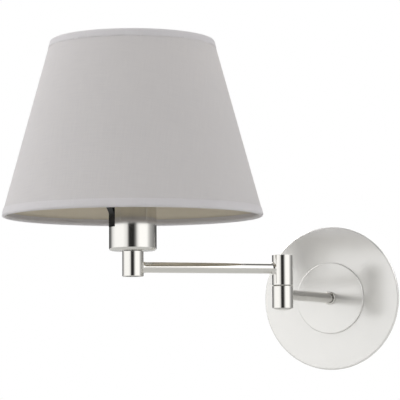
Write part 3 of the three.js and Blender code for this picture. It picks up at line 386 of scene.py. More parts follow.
def skin(name, rings, cut=None):
    """A surface through rings of equally many points, the last of which joins the first.
    cut gives each corner's place on the flat sheet from its ring and its column."""
    sides = len(rings[0])
    count = len(rings)
    faces = []
    places = []
    for i in range(count):
        j = (i + 1) % count
        for k in range(sides):
            m = (k + 1) % sides
            faces.append((i * sides + k, i * sides + m, j * sides + m, j * sides + k))
            places += [(i, k), (i, k + 1), (i + 1, k + 1), (i + 1, k)]
    mesh = bpy.data.meshes.new(name)
    mesh.from_pydata([p for ring in rings for p in ring], [], faces)
    if cut:
        layer = mesh.uv_layers.new(name="cut")
        for loop, (i, k) in zip(layer.data, places):
            loop.uv = cut(i, k)
    return mesh


def on_upright(centre):
    """Maps a radius, a height and a turn to a place round an upright axis."""
    return lambda r, h, turn: (centre.x + r * math.cos(turn), centre.y + r * math.sin(turn), h)


def on_wall(centre):
    """The same round an axis square to the wall, with the height counted out from the wall."""
    return lambda r, h, turn: (centre.x + r * math.cos(turn), -h, centre.z + r * math.sin(turn))


def lathe(name, outline, place, facets):
    """Turns a closed outline of (radius, height) points. A point on the axis becomes a pole."""
    corners = []
    rows = []
    for r, h in outline:
        on_axis = r < ON_AXIS
        rows.append((len(corners), on_axis))
        corners += [place(r, h, math.tau * k / facets) for k in range(1 if on_axis else facets)]
    faces = []
    for (a, a_pole), (b, b_pole) in zip(rows, rows[1:] + rows[:1]):
        if a_pole and b_pole:
            continue
        for k in range(facets):
            m = (k + 1) % facets
            face = [a] if a_pole else [a + k, a + m]
            face += [b] if b_pole else [b + m, b + k]
            faces.append(face)
    mesh = bpy.data.meshes.new(name)
    mesh.from_pydata(corners, [], faces)
    return mesh


def cad_outline(node, axis, upright, towards):
    """The (radius, height) outline of a turned CAD node, read where a half plane through its axis cuts it.
    The half plane passes just beside the corner of the widest ring that lies nearest to a direction."""
    beside = 1e-4  # radians past the corner, so that the half plane cuts whole triangles
    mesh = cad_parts[node].data
    mesh.calc_loop_triangles()

    def radial(p):
        d = p - axis
        return Vector((d.x, d.y, 0)) if upright else Vector((d.x, 0, d.z))

    points = [v.co for v in mesh.vertices]
    widest = max(radial(p).length for p in points)
    ring = [radial(p) for p in points if radial(p).length > widest - 0.02 * MM]
    aim = max(ring, key=lambda d: d.normalized().dot(towards)).normalized()
    spin = UP if upright else Vector((0, 1, 0))
    aim = (aim + spin.cross(aim) * beside).normalized()
    side = spin.cross(aim)
    links = {}

    def key(q):
        return round(q[0] / WELD), round(q[1] / WELD)

    spots = {}
    for tri in mesh.loop_triangles:
        a, b, c = (points[i] for i in tri.vertices)
        ends = []
        for p, q in ((a, b), (b, c), (c, a)):
            dp, dq = (p - axis).dot(side), (q - axis).dot(side)
            if (dp < 0) != (dq < 0):
                hit = p.lerp(q, dp / (dp - dq))
                ends.append(((hit - axis).dot(aim), hit.z if upright else -hit.y))
        if len(ends) == 2 and min(e[0] for e in ends) > -ON_AXIS:
            one, two = key(ends[0]), key(ends[1])
            if one != two:
                spots[one], spots[two] = ends
                links.setdefault(one, []).append(two)
                links.setdefault(two, []).append(one)
    start = min(spots, key=lambda k: (spots[k][1], -spots[k][0]))
    path = [start]
    seen = {start}
    while True:
        nearby = [k for k in links[path[-1]] if k not in seen]
        if not nearby:
            break
        path.append(nearby[0])
        seen.add(nearby[0])
    return straighten([spots[k] for k in path])


def without_repeats(outline, gap):
    """Drops each point of a closed outline that lies within a gap of the point kept before it."""
    kept = []
    for p in outline:
        if not kept or math.dist(p, kept[-1]) > gap:
            kept.append((max(p[0], 0.0), p[1]))
    if math.dist(kept[0], kept[-1]) < gap:
        kept.pop()
    return kept


def straighten(outline):
    """Drops the points that repeat, or that lie on a straight stretch of a closed outline."""
    kept = without_repeats(outline, 0.01 * MM)
    count = len(kept)
    turns = [turn_at(kept[i - 1], kept[i], kept[(i + 1) % count]) for i in range(count)]
    return [p for p, turn in zip(kept, turns) if abs(turn) > math.radians(1)]


def turn_at(before, at, after):
    """How far an outline turns at a point, in radians."""
    a = Vector(at) - Vector(before)
    b = Vector(after) - Vector(at)
    return math.atan2(a.x * b.y - a.y * b.x, a.dot(b))


def soften(outline, rounding, steps=4):
    """Rounds the corners of a closed outline. A gentle corner is part of a curve, so it is rounded as far
    as its sides allow; a sharp one gets the given radius. Corners on the axis stay."""
    made = []
    count = len(outline)
    for i, at in enumerate(outline):
        before, after = outline[i - 1], outline[(i + 1) % count]
        turn = abs(turn_at(before, at, after))
        room = min(math.dist(before, at), math.dist(at, after))
        back = 0.5 * room if turn < GENTLE_BEND else min(rounding * math.tan(turn / 2), 0.45 * room)
        if at[0] < ON_AXIS or back < 0.01 * MM:
            made.append(at)
            continue
        centre, start, end = Vector(at), Vector(before) - Vector(at), Vector(after) - Vector(at)
        start = centre + start.normalized() * back
        end = centre + end.normalized() * back
        for k in range(steps + 1):
            t = k / steps
            made.append(tuple(start * (1 - t) ** 2 + centre * 2 * t * (1 - t) + end * t ** 2))
    return without_repeats(made, 0.004 * MM)


def turned(name, node, axis, material, body, slot,
           facets=96, rounding=0.25 * MM, upright=True, towards=None):
    """A turned piece made again from its CAD node's outline, with rounded edges and a smooth girth."""
    place = (on_upright if upright else on_wall)(axis)
    outline = cad_outline(node, axis, upright, towards or Vector((1, 0.001, 0.001)))
    mesh = tidy_mesh(lathe(name, soften(outline, rounding), place, facets))
    return weigh_normals(to_piece(name, mesh, material, body, node))


def eased_copy(name, node, material, body, edge=0.2 * MM, segments=2):
    """A CAD node's shape with its edges eased by a small bevel."""
    mesh = bpy.data.meshes.new(name)
    shape = bmesh.new()
    shape.from_mesh(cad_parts[node].data)
    bmesh.ops.remove_doubles(shape, verts=shape.verts, dist=WELD)
    bmesh.ops.dissolve_limit(shape, angle_limit=math.radians(1), verts=shape.verts, edges=shape.edges)
    shape.to_mesh(mesh)
    shape.free()
    mesh.shade_smooth()
    mesh.set_sharp_from_angle(angle=math.radians(SHARP_EDGE))
    piece = to_piece(name, mesh, material, body, node)
    eased = piece.modifiers.new("eased_edges", "BEVEL")
    eased.width = edge
    eased.segments = segments
    eased.limit_method = "ANGLE"
    eased.angle_limit = math.radians(SHARP_EDGE)
    eased.use_clamp_overlap = True
    return weigh_normals(piece)


# ---------------------------------------------------------------- geometry nodes


def named_inputs(tree, sockets):
    for name, kind in sockets:
        tree.interface.new_socket(name, in_out="INPUT", socket_type=kind)
    tree.interface.new_socket("Geometry", in_out="OUTPUT", socket_type="NodeSocketGeometry")
    return tree.nodes.new("NodeGroupInput").outputs


def copies_round_tree():
    """Copies its geometry evenly round an upright axis."""
    tree = bpy.data.node_groups.new("copies_round_an_axis", "GeometryNodeTree")
    given = named_inputs(tree, (
        ("Geometry", "NodeSocketGeometry"), ("Copies", "NodeSocketInt"), ("Axis", "NodeSocketVector"),
        ("Material", "NodeSocketMaterial")))
    away = add(tree, "ShaderNodeVectorMath", {0: given["Axis"], 1: (-1, -1, -1)}, operation="MULTIPLY")
    centred = add(tree, "GeometryNodeTransform", {
        "Geometry": given["Geometry"], "Translation": away.outputs[0]})
    stations = add(tree, "GeometryNodePoints", {"Count": given["Copies"]})
    index = add(tree, "GeometryNodeInputIndex")
    share = add(tree, "ShaderNodeMath", {0: math.tau, 1: given["Copies"]}, operation="DIVIDE")
    angle = add(tree, "ShaderNodeMath", {0: index.outputs[0], 1: share.outputs[0]}, operation="MULTIPLY")
    spin = add(tree, "ShaderNodeCombineXYZ", {"Z": angle.outputs[0]})
    placed = add(tree, "GeometryNodeInstanceOnPoints", {
        "Points": stations.outputs[0], "Instance": centred.outputs[0], "Rotation": spin.outputs[0]})
    moved = add(tree, "GeometryNodeTranslateInstances", {
        "Instances": placed.outputs[0], "Translation": given["Axis"], "Local Space": False})
    real = add(tree, "GeometryNodeRealizeInstances", {"Geometry": moved.outputs[0]})
    done = add(tree, "GeometryNodeSetMaterial", {"Geometry": real.outputs[0], "Material": given["Material"]})
    add(tree, "NodeGroupOutput", {"Geometry": done.outputs[0]})
    return tree


def bent_wire_tree():
    """Draws a round wire along a path of edges, with each corner bent to one radius."""
    tree = bpy.data.node_groups.new("bent_wire", "GeometryNodeTree")
    given = named_inputs(tree, (
        ("Geometry", "NodeSocketGeometry"), ("Wire Radius", "NodeSocketFloat"),
        ("Bend Radius", "NodeSocketFloat"), ("Sides", "NodeSocketInt"), ("Material", "NodeSocketMaterial")))
    path = add(tree, "GeometryNodeMeshToCurve", {"Mesh": given["Geometry"]})
    bent = add(tree, "GeometryNodeFilletCurve", {
        "Curve": path.outputs[0], "Radius": given["Bend Radius"], "Count": 10, "Limit Radius": True},
        mode="POLY")
    round_section = add(tree, "GeometryNodeCurvePrimitiveCircle", {
        "Resolution": given["Sides"], "Radius": given["Wire Radius"]})
    drawn = add(tree, "GeometryNodeCurveToMesh", {
        "Curve": bent.outputs[0], "Profile Curve": round_section.outputs[0], "Fill Caps": True})
    real = add(tree, "GeometryNodeRealizeInstances", {"Geometry": drawn.outputs[0]})
    done = add(tree, "GeometryNodeSetMaterial", {"Geometry": real.outputs[0], "Material": given["Material"]})
    add(tree, "NodeGroupOutput", {"Geometry": done.outputs[0]})
    return tree


COPIES_ROUND = copies_round_tree()
BENT_WIRE = bent_wire_tree()


def run_nodes(mesh, tree, **inputs):
    """Runs a mesh through a tree and returns the result as a plain mesh."""
    holder = bpy.data.objects.new("holder", mesh)
    bpy.context.scene.collection.objects.link(holder)
    modifier = holder.modifiers.new("made", "NODES")
    modifier.node_group = tree
    for socket in tree.interface.items_tree:
        name = socket.name.replace(" ", "_").lower()
        if name in inputs:
            modifier[socket.identifier] = inputs[name]
    depsgraph = bpy.context.evaluated_depsgraph_get()
    result = bpy.data.meshes.new_from_object(holder.evaluated_get(depsgraph))
    holder.modifiers.remove(modifier)
    bpy.data.objects.remove(holder)
    return result


def path_mesh(points):
    mesh = bpy.data.meshes.new("path")
    mesh.from_pydata(points, [(i, i + 1) for i in range(len(points) - 1)], [])
    return mesh


def joined(name, *meshes):
    """One mesh of several separate closed bodies."""
    shape = bmesh.new()
    for mesh in meshes:
        shape.from_mesh(mesh)
    whole = bpy.data.meshes.new(name)
    shape.to_mesh(whole)
    shape.free()
    return whole


# ---------------------------------------------------------------- wall plate and arms

BACK = Vector((-0.3, 0, -1))  # away from the flange screws' holes

turned("wall_plate", "cover_plate", WALL_AXIS, PLATE_NICKEL, "wall_side", "satin_nickel",
       facets=220, rounding=0.3 * MM, upright=False, towards=BACK)
turned("plate_skirt", "cover_skirt", WALL_AXIS, PLATE_NICKEL, "wall_side", "satin_nickel",
       facets=180, rounding=0.2 * MM, upright=False, towards=Vector((1, 0, 0)))
turned("centre_disc", "arm_flange", WALL_AXIS, PLATE_NICKEL, "wall_side", "satin_nickel",
       facets=180, rounding=0.2 * MM, upright=False, towards=BACK)
turned("arm_foot_ring", "arm_collar", WALL_AXIS, NICKEL, "wall_side", "satin_nickel",
       facets=72, rounding=0.2 * MM, upright=False)


def tube_rings(start, along, length, near, far, sides=72):
    """Rings of a tube that starts at a point and runs level along a direction. near and far are the radii of
    the upright barrels that its ends are brazed to, or 0 for a plain end."""
    across = UP.cross(along)
    steps = 10
    eased = 0.2 * MM  # the chamfer of a plain end
    sunk = 0.6 * MM  # how far a brazed end reaches into its barrel

    def ring(radius, distance, barrel, from_far):
        points = []
        for k in range(sides):
            turn = math.tau * k / sides
            level = radius * math.sin(turn)
            bulge = math.sqrt(max(barrel ** 2 - level ** 2, 0)) if barrel else 0
            d = length - bulge - distance if from_far else bulge + distance
            points.append(start + along * d + across * level + UP * radius * math.cos(turn))
        return points

    def end(barrel, from_far):
        if not barrel:
            return [ring(TUBE_BORE, 0, 0, from_far), ring(TUBE_RADIUS - eased, 0, 0, from_far),
                    ring(TUBE_RADIUS, eased, 0, from_far)]
        made = [ring(TUBE_BORE, -sunk, barrel, from_far)]
        for i in range(steps + 1):
            bend = BRAZE_BEND * (1 - i / steps)
            radius = TUBE_RADIUS + BRAZE_RADIUS * (1 - math.cos(bend))
            distance = BRAZE_RADIUS * (math.sin(BRAZE_BEND) - math.sin(bend))
            if i == 0:
                made.append(ring(radius, -sunk, barrel, from_far))
            made.append(ring(radius, distance, barrel, from_far))
        return made

    return end(near, False) + end(far, True)[::-1]


def arm(name, start, along, length, near, far, body, node):
    mesh = tidy_mesh(skin(name, tube_rings(start, along, length, near, far)))
    return weigh_normals(to_piece(name, mesh, NICKEL, body, node))


foot = Vector((HINGE.x, FLANGE_FRONT, WALL_AXIS.z))
elbow = Vector((HINGE.x, HINGE.y, ARM_LEVEL))
arm("short_arm", foot, Vector((0, -1, 0)), FLANGE_FRONT - HINGE.y, 0, BARREL_RADIUS,
    "wall_side", "short_arm_tube")
arm("long_arm", elbow, ARM_ALONG, ARM_LENGTH, BARREL_RADIUS, HUB_RADIUS, "outer_arm", "long_arm_tube")

# ---------------------------------------------------------------- hinge and hub

AWAY = Vector((1, -0.3, 0))  # clear of both arms' holes and of the stop pin

turned("lower_hinge_barrel", "lower_barrel", HINGE, NICKEL, "wall_side", "satin_nickel", towards=AWAY)
turned("upper_hinge_barrel", "upper_barrel", HINGE, NICKEL, "outer_arm", "satin_nickel", towards=AWAY)
turned("hinge_bottom_dome", "hinge_cap_bottom", HINGE, NICKEL, "wall_side", "satin_nickel")
turned("hinge_top_dome", "hinge_cap_top", HINGE, NICKEL, "outer_arm", "satin_nickel")
# painted shade: the washer's grey tone stands for the shade in the split between the two barrels
turned("hinge_washer", "friction_washer", HINGE, SPLIT_SHADE_NYLON, "wall_side", "nylon",
       facets=64, rounding=0.05 * MM, towards=AWAY)
turned("hub", "hub_barrel", HEAD, NICKEL, "outer_arm", "satin_nickel", towards=ARM_ALONG)
turned("hub_plug_disc", "hub_plug", HEAD, NICKEL, "outer_arm", "satin_nickel")


def lamp_cup():
    """The spun cup, with the switch's window cut through its side. The cutter starts inside the cup, a
    little over half way out to the switch, and ends well outside."""
    clearance = 0.3 * MM  # between the window and the switch
    inner_share = 0.6
    past_switch = 5 * MM
    outline = soften(cad_outline("cup", HEAD, True, -SWITCH_OUT), 0.25 * MM, 6)
    mesh = tidy_mesh(lathe("cup_blank", outline, on_upright(HEAD), 160))
    blank = bpy.data.objects.new("cup_blank", mesh)
    low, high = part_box("switch_housing")
    across = [v + s * clearance for v, s in zip(extent("switch_housing", SWITCH_ACROSS), (-1, 1))]
    out = extent("switch_housing", SWITCH_OUT)
    middle = HEAD.dot(SWITCH_OUT)
    window = bpy.data.meshes.new("window")
    shape = bmesh.new()
    points = []
    for o in (middle + inner_share * (out[0] - middle), out[1] + past_switch):
        for a in across:
            for z in (low.z - clearance, high.z + clearance):
                points.append(shape.verts.new(SWITCH_OUT * o + SWITCH_ACROSS * a + UP * z))
    bmesh.ops.convex_hull(shape, input=points)
    bmesh.ops.recalc_face_normals(shape, faces=shape.faces)
    shape.to_mesh(window)
    shape.free()
    cutter = bpy.data.objects.new("window", window)
    for made in (blank, cutter):
        bpy.context.scene.collection.objects.link(made)
    cut = blank.modifiers.new("window", "BOOLEAN")
    cut.operation = "DIFFERENCE"
    cut.solver = "EXACT"
    cut.object = cutter
    depsgraph = bpy.context.evaluated_depsgraph_get()
    result = bpy.data.meshes.new_from_object(blank.evaluated_get(depsgraph))
    for made in (blank, cutter):
        bpy.data.objects.remove(made)
    return weigh_normals(to_piece("lamp_cup", tidy_mesh(result), NICKEL, "outer_arm", "cup"))


lamp_cup()

# ---------------------------------------------------------------- switch

eased_copy("switch_frame", "switch_housing", BLACK, "outer_arm", 0.15 * MM)
eased_copy("rocker_key", "switch_rocker", BLACK, "rocker", 0.25 * MM, 3)

# ---------------------------------------------------------------- lampholder and bulb

# The last two values are the facets round a piece's girth and the rounding of its edges.
turned("holder_dome", "lampholder_base", HEAD, WHITE, "outer_arm", "white_plastic", 80, 0.3 * MM)
turned("holder_sleeve", "lampholder_shell", HEAD, WHITE, "outer_arm", "white_plastic", 80, 0.3 * MM)
turned("holder_insert", "lampholder_insert", HEAD, PORCELAIN, "outer_arm", "porcelain", 80, 0.4 * MM)
turned("holder_screw_shell", "screw_contact", HEAD, BRASS, "outer_arm", "brass", 72, 0.1 * MM)
turned("bulb_screw_cap", "bulb_cap", HEAD, ZINC, "outer_arm", "zinc_plate", 72, 0.4 * MM)
turned("bulb_neck", "bulb_body", HEAD, WHITE, "outer_arm", "white_plastic", 96, 0.3 * MM)
turned("bulb_globe", "bulb_dome", HEAD, FROSTED, "outer_arm", "frosted_dome", 96, 0.2 * MM)


def ribbed_ring():
    """The ring nut that holds the shade: a turned ring with finger ribs round it."""
    rib_count = 40
    rib_radius = 0.7 * MM
    rib_sunk = 0.4 * MM  # from the ring's outer face to a rib's middle
    rib_inset = 0.8 * MM  # from the ring's ends to a rib's
    outline = soften(cad_outline("ring_nut", HEAD, True, Vector((1, 0.001, 0))), 0.4 * MM)
    ring = lathe("ribbed_ring", outline, on_upright(HEAD), 96)
    low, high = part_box("ring_nut")
    foot, top = low.z + rib_inset, high.z - rib_inset
    rib_centre = Vector((HEAD.x + reach("ring_nut", HEAD) - rib_sunk, HEAD.y, 0))
    rib_outline = soften([(0, foot), (rib_radius, foot), (rib_radius, top), (0, top)], 0.3 * MM, 2)
    rib = lathe("rib", rib_outline, on_upright(rib_centre), 12)
    axis = Vector((HEAD.x, HEAD.y, 0))
    ribs = run_nodes(rib, COPIES_ROUND, copies=rib_count, axis=axis, material=WHITE)
    mesh = tidy_mesh(joined("ribbed_ring", ring, ribs))
    return weigh_normals(to_piece("ribbed_ring", mesh, WHITE, "outer_arm", "ring_nut"))


ribbed_ring()

# ---------------------------------------------------------------- fixings

for node in ("cover_screw_top", "cover_screw_bottom", "flange_screw_1", "flange_screw_2", "flange_screw_3"):
    eased_copy(f"{node}_eased", node, ZINC, "wall_side", 0.12 * MM)
eased_copy("bracket_strap", "wall_bracket", ZINC, "wall_side", 0.3 * MM)
eased_copy("terminal_body", "terminal_block", WHITE, "wall_side", 0.25 * MM)

# Small pieces that the others hide keep their plain shape and only take a finish.
CARRIED_OVER = {
    "earth_screw": BRASS, "terminal_screw_1": BRASS, "terminal_screw_2": BRASS, "terminal_screw_3": BRASS,
    "lead_wall_arm": JACKET, "hinge_pin": ZINC, "stop_pin": ZINC, "wave_washer": ZINC, "hinge_nut": ZINC,
    "lead_long_arm": JACKET, "hub_nut": ZINC, "threaded_tube": ZINC, "cup_washer": ZINC, "cup_nut": ZINC,
    "switch_tab_1": BRASS, "switch_tab_2": BRASS, "switch_wire_1": BLACK, "switch_wire_2": BLACK,
    "centre_contact": BRASS,
}
for node, material in CARRIED_OVER.items():
    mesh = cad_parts[node].data
    mesh.materials.clear()
    mesh.materials.append(material)

# ---------------------------------------------------------------- shade

frame_points = corners_of("shade_frame")
frame_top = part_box("shade_frame")[1].z
FITTER_THICKNESS = 1.5 * MM
FITTER_WIDTH = 6.3 * MM  # from its bore to its edge
FITTER_BORE = min(from_axis(p, HEAD) for p in frame_points)
FITTER_EDGE = FITTER_BORE + FITTER_WIDTH
KNEE = 8 * MM  # from the fitter's edge to where a spoke bends down


def spoke_direction():
    """Half way down, clear of both rings, the frame has only its spokes. The first found gives the way."""
    above_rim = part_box("shade_frame")[0].z + 12 * MM
    below_fitter = frame_top - 8 * MM
    one_spoke = math.cos(math.radians(26))  # the next spoke is 120 degrees on
    between = [p - HEAD for p in frame_points if above_rim < p.z < below_fitter]
    first = between[0].to_2d().normalized()
    near = [p.to_2d() for p in between if p.to_2d().normalized().dot(first) > one_spoke]
    middle = sum(near, Vector((0, 0))).normalized()
    return Vector((middle.x, middle.y, 0))


SPOKE_OUT = spoke_direction()

shade_low, shade_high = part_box("shade_fabric")
shade_corners = corners_of("shade_fabric")


def shade_reach(level):
    """The shade's outer radius at one of its edges."""
    return max(from_axis(p, HEAD) for p in shade_corners if abs(p.z - level) < 0.1 * MM)


BOTTOM_EDGE = Vector((shade_reach(shade_low.z), shade_low.z))
TOP_EDGE = Vector((shade_reach(shade_high.z), shade_high.z))
SLANT = (TOP_EDGE - BOTTOM_EDGE).normalized()
OUTWARDS = Vector((SLANT.y, -SLANT.x))
SLANT_LENGTH = (TOP_EDGE - BOTTOM_EDGE).length
HALF_ANGLE = math.atan2(-SLANT.x, SLANT.y)

TRIM_THICKNESS = 0.45 * MM
CLOTH_THICKNESS = 0.4 * MM
LINING_THICKNESS = 0.5 * MM
WIRE_RADIUS = 1.5 * MM
ROLL_RADIUS = WIRE_RADIUS + TRIM_THICKNESS + 0.2 * MM  # of the trim where it turns round the wire
BOTTOM_TRIM = 8.5 * MM
TOP_TRIM = 7.5 * MM
TRIM_INSIDE = 7.0 * MM
SHADE_FACETS = 360
SEAM_TURN = math.radians(90)  # the cloth's flat cut starts and ends on the wall side, in a flush joint


def edge_place(bottom):
    """Maps (distance from the edge, depth behind the outer face) to (radius, height) at either edge."""
    edge, away = (BOTTOM_EDGE, SLANT) if bottom else (TOP_EDGE, -SLANT)
    return lambda a, b: edge + away * a - OUTWARDS * b


def roll_centre(bottom):
    """How far along the slant from the shade's edge the trim's roll has its middle."""
    lean = math.tan(HALF_ANGLE) * ROLL_RADIUS * (1 if bottom else -1)
    return ROLL_RADIUS / math.cos(HALF_ANGLE) + lean


def flat_cut(radius, turn_share):
    """Where a point of the cone lies on the cloth before it is rolled up: a sector of a ring."""
    slant = radius / math.sin(HALF_ANGLE)
    angle = (turn_share - 0.5) * math.tau * math.sin(HALF_ANGLE)
    return slant * math.sin(angle), slant * math.cos(angle)


def cone_sheet(name, outline, wander=0.0):
    """A closed sheet turned round the shade's axis, starting at the seam, with its flat cut as its UV map.
    wander is how far hand-glued cloth strays, in waves of three lengths round the edge."""
    waves = ((9, 1), (23, 2), (41, 0))  # how many there are, and how far they shift from ring to ring
    rings = []
    for i, (radius, height) in enumerate(outline):
        ring = []
        for k in range(SHADE_FACETS):
            turn = SEAM_TURN + math.tau * k / SHADE_FACETS
            strays = (math.sin(many * turn + shift * i) for many, shift in waves)
            r = radius + wander * sum(strays) / len(waves)
            ring.append((HEAD.x + r * math.cos(turn), HEAD.y + r * math.sin(turn), height))
        rings.append(ring)
    count = len(outline)
    sheet = skin(name, rings, lambda i, k: flat_cut(outline[i % count][0], k / SHADE_FACETS))
    return tidy_mesh(sheet, sharp=60)


def sheet_outline(depth, thickness, from_bottom, from_top, rows):
    """The outline of a sheet that lies behind the shade's outer face, set back from its two edges."""
    place = edge_place(True)
    low, high = from_bottom, SLANT_LENGTH - from_top
    front = [place(low + (high - low) * i / rows, depth) for i in range(rows + 1)]
    back = [place(low + (high - low) * i / rows, depth + thickness) for i in range(rows + 1)]
    return [tuple(p) for p in front + back[::-1]]


def trim_outline(bottom, width):
    """The self-trim's outline: up the outside, round the wire, and back up against the lining."""
    roll_steps = 14
    centre = roll_centre(bottom)
    half = TRIM_THICKNESS / 2
    mid = ROLL_RADIUS - half
    behind = TRIM_THICKNESS + CLOTH_THICKNESS + LINING_THICKNESS + 0.7 * TRIM_THICKNESS
    line = [(width * share, half) for share in (1, 0.75, 0.5)]
    line += [(centre - mid * math.sin(t), ROLL_RADIUS - mid * math.cos(t))
             for t in (math.pi * i / roll_steps for i in range(roll_steps + 1))]
    # Past the wire the trim leaves the roll and is glued down on the lining.
    line += [(centre + 1.2 * MM, 2 * ROLL_RADIUS - 0.8 * TRIM_THICKNESS),
             (centre + 2.6 * MM, behind + 0.2 * MM),
             (TRIM_INSIDE * 0.85, behind),
             (TRIM_INSIDE, behind)]
    end_share = 0.6  # the trim's cut ends are a little thinner
    one, other = [], []
    for i, at in enumerate(line):
        ahead = Vector(line[min(i + 1, len(line) - 1)]) - Vector(line[max(i - 1, 0)])
        normal = Vector((-ahead.y, ahead.x)).normalized()
        offset = normal * half * (end_share if i in (0, len(line) - 1) else 1.0)
        one.append(Vector(at) + offset)
        other.append(Vector(at) - offset)
    place = edge_place(bottom)
    tip = [Vector(line[-1]) + Vector((half * end_share, 0))]
    start = [Vector(line[0]) + Vector((half * end_share, 0))]
    return [tuple(place(*p)) for p in one + tip + other[::-1] + start]


def shade():
    """Cloth and lining stop short of both wires, and a trim of the same cloth covers each edge."""
    body = "outer_arm"
    cloth_depth = 0.8 * TRIM_THICKNESS
    cloth_outline = sheet_outline(cloth_depth, CLOTH_THICKNESS,
                                  from_bottom=3 * MM, from_top=2.5 * MM, rows=48)
    cloth = to_piece("shade_cloth", cone_sheet("shade_cloth", cloth_outline), CLOTH, body,
                     "shade_fabric")
    lining_depth = cloth_depth + CLOTH_THICKNESS + 0.05 * MM
    lining_outline = sheet_outline(lining_depth, LINING_THICKNESS,
                                   from_bottom=3.4 * MM, from_top=3 * MM, rows=24)
    lining = to_piece("shade_lining", cone_sheet("shade_lining", lining_outline), LINING, body)
    for name, bottom, width in (("bottom_trim", True, BOTTOM_TRIM), ("top_trim", False, TOP_TRIM)):
        mesh = cone_sheet(name, trim_outline(bottom, width), wander=0.1 * MM)
        to_piece(name, mesh, TRIM, body)


def wire_ring_mesh(name, bottom):
    """A ring of round wire inside the trim's roll. Its section's centre is (radius, height)."""
    sides = 16
    centre = edge_place(bottom)(roll_centre(bottom), ROLL_RADIUS)
    turns = [math.tau * i / sides for i in range(sides)]
    section = [(centre.x + WIRE_RADIUS * math.cos(t), centre.y + WIRE_RADIUS * math.sin(t)) for t in turns]
    return lathe(name, section, on_upright(HEAD), 180), centre


def shade_frame():
    """Welded steel: the bottom ring, three spokes that rise from it, and the flat ring on the lampholder."""
    ring, wire_centre = wire_ring_mesh("bottom_ring", True)
    fitter_low = frame_top - FITTER_THICKNESS
    corners = [(FITTER_BORE, fitter_low), (FITTER_EDGE, fitter_low),
               (FITTER_EDGE, frame_top), (FITTER_BORE, frame_top)]
    flat = lathe("fitter", soften(corners, 0.4 * MM), on_upright(HEAD), 96)
    level = (fitter_low + frame_top) / 2
    start = HEAD + SPOKE_OUT * wire_centre.x
    knee = HEAD + SPOKE_OUT * (FITTER_EDGE + KNEE)
    end = HEAD + SPOKE_OUT * (FITTER_EDGE - 1 * MM)  # sunk into the fitter's edge, where it is welded
    route = [(start.x, start.y, wire_centre.y), (knee.x, knee.y, level), (end.x, end.y, level)]
    spoke = run_nodes(path_mesh(route), BENT_WIRE, wire_radius=WIRE_RADIUS, bend_radius=8 * MM, sides=14,
                      material=COATED)
    spokes = run_nodes(spoke, COPIES_ROUND, copies=3, axis=Vector((HEAD.x, HEAD.y, 0)), material=COATED)
    mesh = tidy_mesh(joined("shade_wire_frame", ring, spokes, flat))
    weigh_normals(to_piece("shade_wire_frame", mesh, COATED, "outer_arm", "shade_frame"))
    top = tidy_mesh(wire_ring_mesh("top_ring", False)[0])
    weigh_normals(to_piece("shade_top_wire", top, COATED, "outer_arm", "shade_top_ring"))


shade()
shade_frame()

# ---------------------------------------------------------------- camera, studio and floor

CAMERA_TURN = math.radians(24.922)
CAMERA_PITCH = math.radians(4.739)
CAMERA_ROLL = math.radians(0.308)
CAMERA_DISTANCE = 1.9602
AIM_RIGHT_OF_HEAD = 0.06358
AIM_LEVEL = 0.08814
SENSOR_WIDTH = 36  # mm
LENS = 186.633  # mm


def camera():
    """Looks from the room, from the +X side and slightly upwards, through a long lens."""
    right = Vector((math.cos(CAMERA_TURN), math.sin(CAMERA_TURN), 0))
    level = Vector((-math.sin(CAMERA_TURN), math.cos(CAMERA_TURN), 0))
    forward = level * math.cos(CAMERA_PITCH) + UP * math.sin(CAMERA_PITCH)
    above = right.cross(forward)
    rolled_right = right * math.cos(CAMERA_ROLL) - above * math.sin(CAMERA_ROLL)
    rolled_above = above * math.cos(CAMERA_ROLL) + right * math.sin(CAMERA_ROLL)
    target = Vector((HEAD.x, HEAD.y, 0)) + right * AIM_RIGHT_OF_HEAD
    target.z = AIM_LEVEL
    data = bpy.data.cameras.new("camera")
    data.lens = LENS
    data.sensor_width = SENSOR_WIDTH
    data.clip_end = 100
    made = bpy.data.objects.new("camera", data)
    bpy.context.scene.collection.objects.link(made)
    axes = Matrix((rolled_right, rolled_above, -forward)).transposed().to_4x4()
    axes.translation = target - forward * CAMERA_DISTANCE
    made.matrix_world = axes
    bpy.context.scene.camera = made


# The studio's light by direction: degrees round from the camera, to its right positive, and radiance.
STUDIO = (
    (-180, 0.10), (-150, 0.10), (-138, 0.16), (-126, 0.40), (-117, 0.84), (-106, 1.12), (-98, 1.22),
    (-90, 1.34), (-46, 1.34), (-34, 1.16), (-26, 0.98), (-21, 0.45), (-15, 0.04), (5, 0.03), (10, 0.14),
    (15, 0.32), (19, 0.6), (24, 1.0), (30, 1.26), (36, 1.4), (70, 1.4), (78, 1.2), (86, 0.84), (96, 0.56),
    (110, 0.4), (126, 0.26), (140, 0.12), (180, 0.10),
)
# The same higher up, where only the shade and the upward faces see it.
STUDIO_HIGH = (
    (-180, 2.0), (-125, 2.0), (-106, 3.9), (-56, 3.9), (-42, 0.04), (23, 0.04), (36, 3.1), (66, 3.2),
    (82, 0.7), (100, 1.3), (180, 2.0),
)
STUDIO_PEAK = 4.0  # the ramps hold shares of it, because a ramp's colours stop at one
OVERHEAD = 0.26
BELOW = 0.45
# Elevations in degrees between which one light gives way to the next.
TO_HIGH = (12, 20)
TO_OVERHEAD = (38, 62)
FROM_BELOW = (-50, -28)


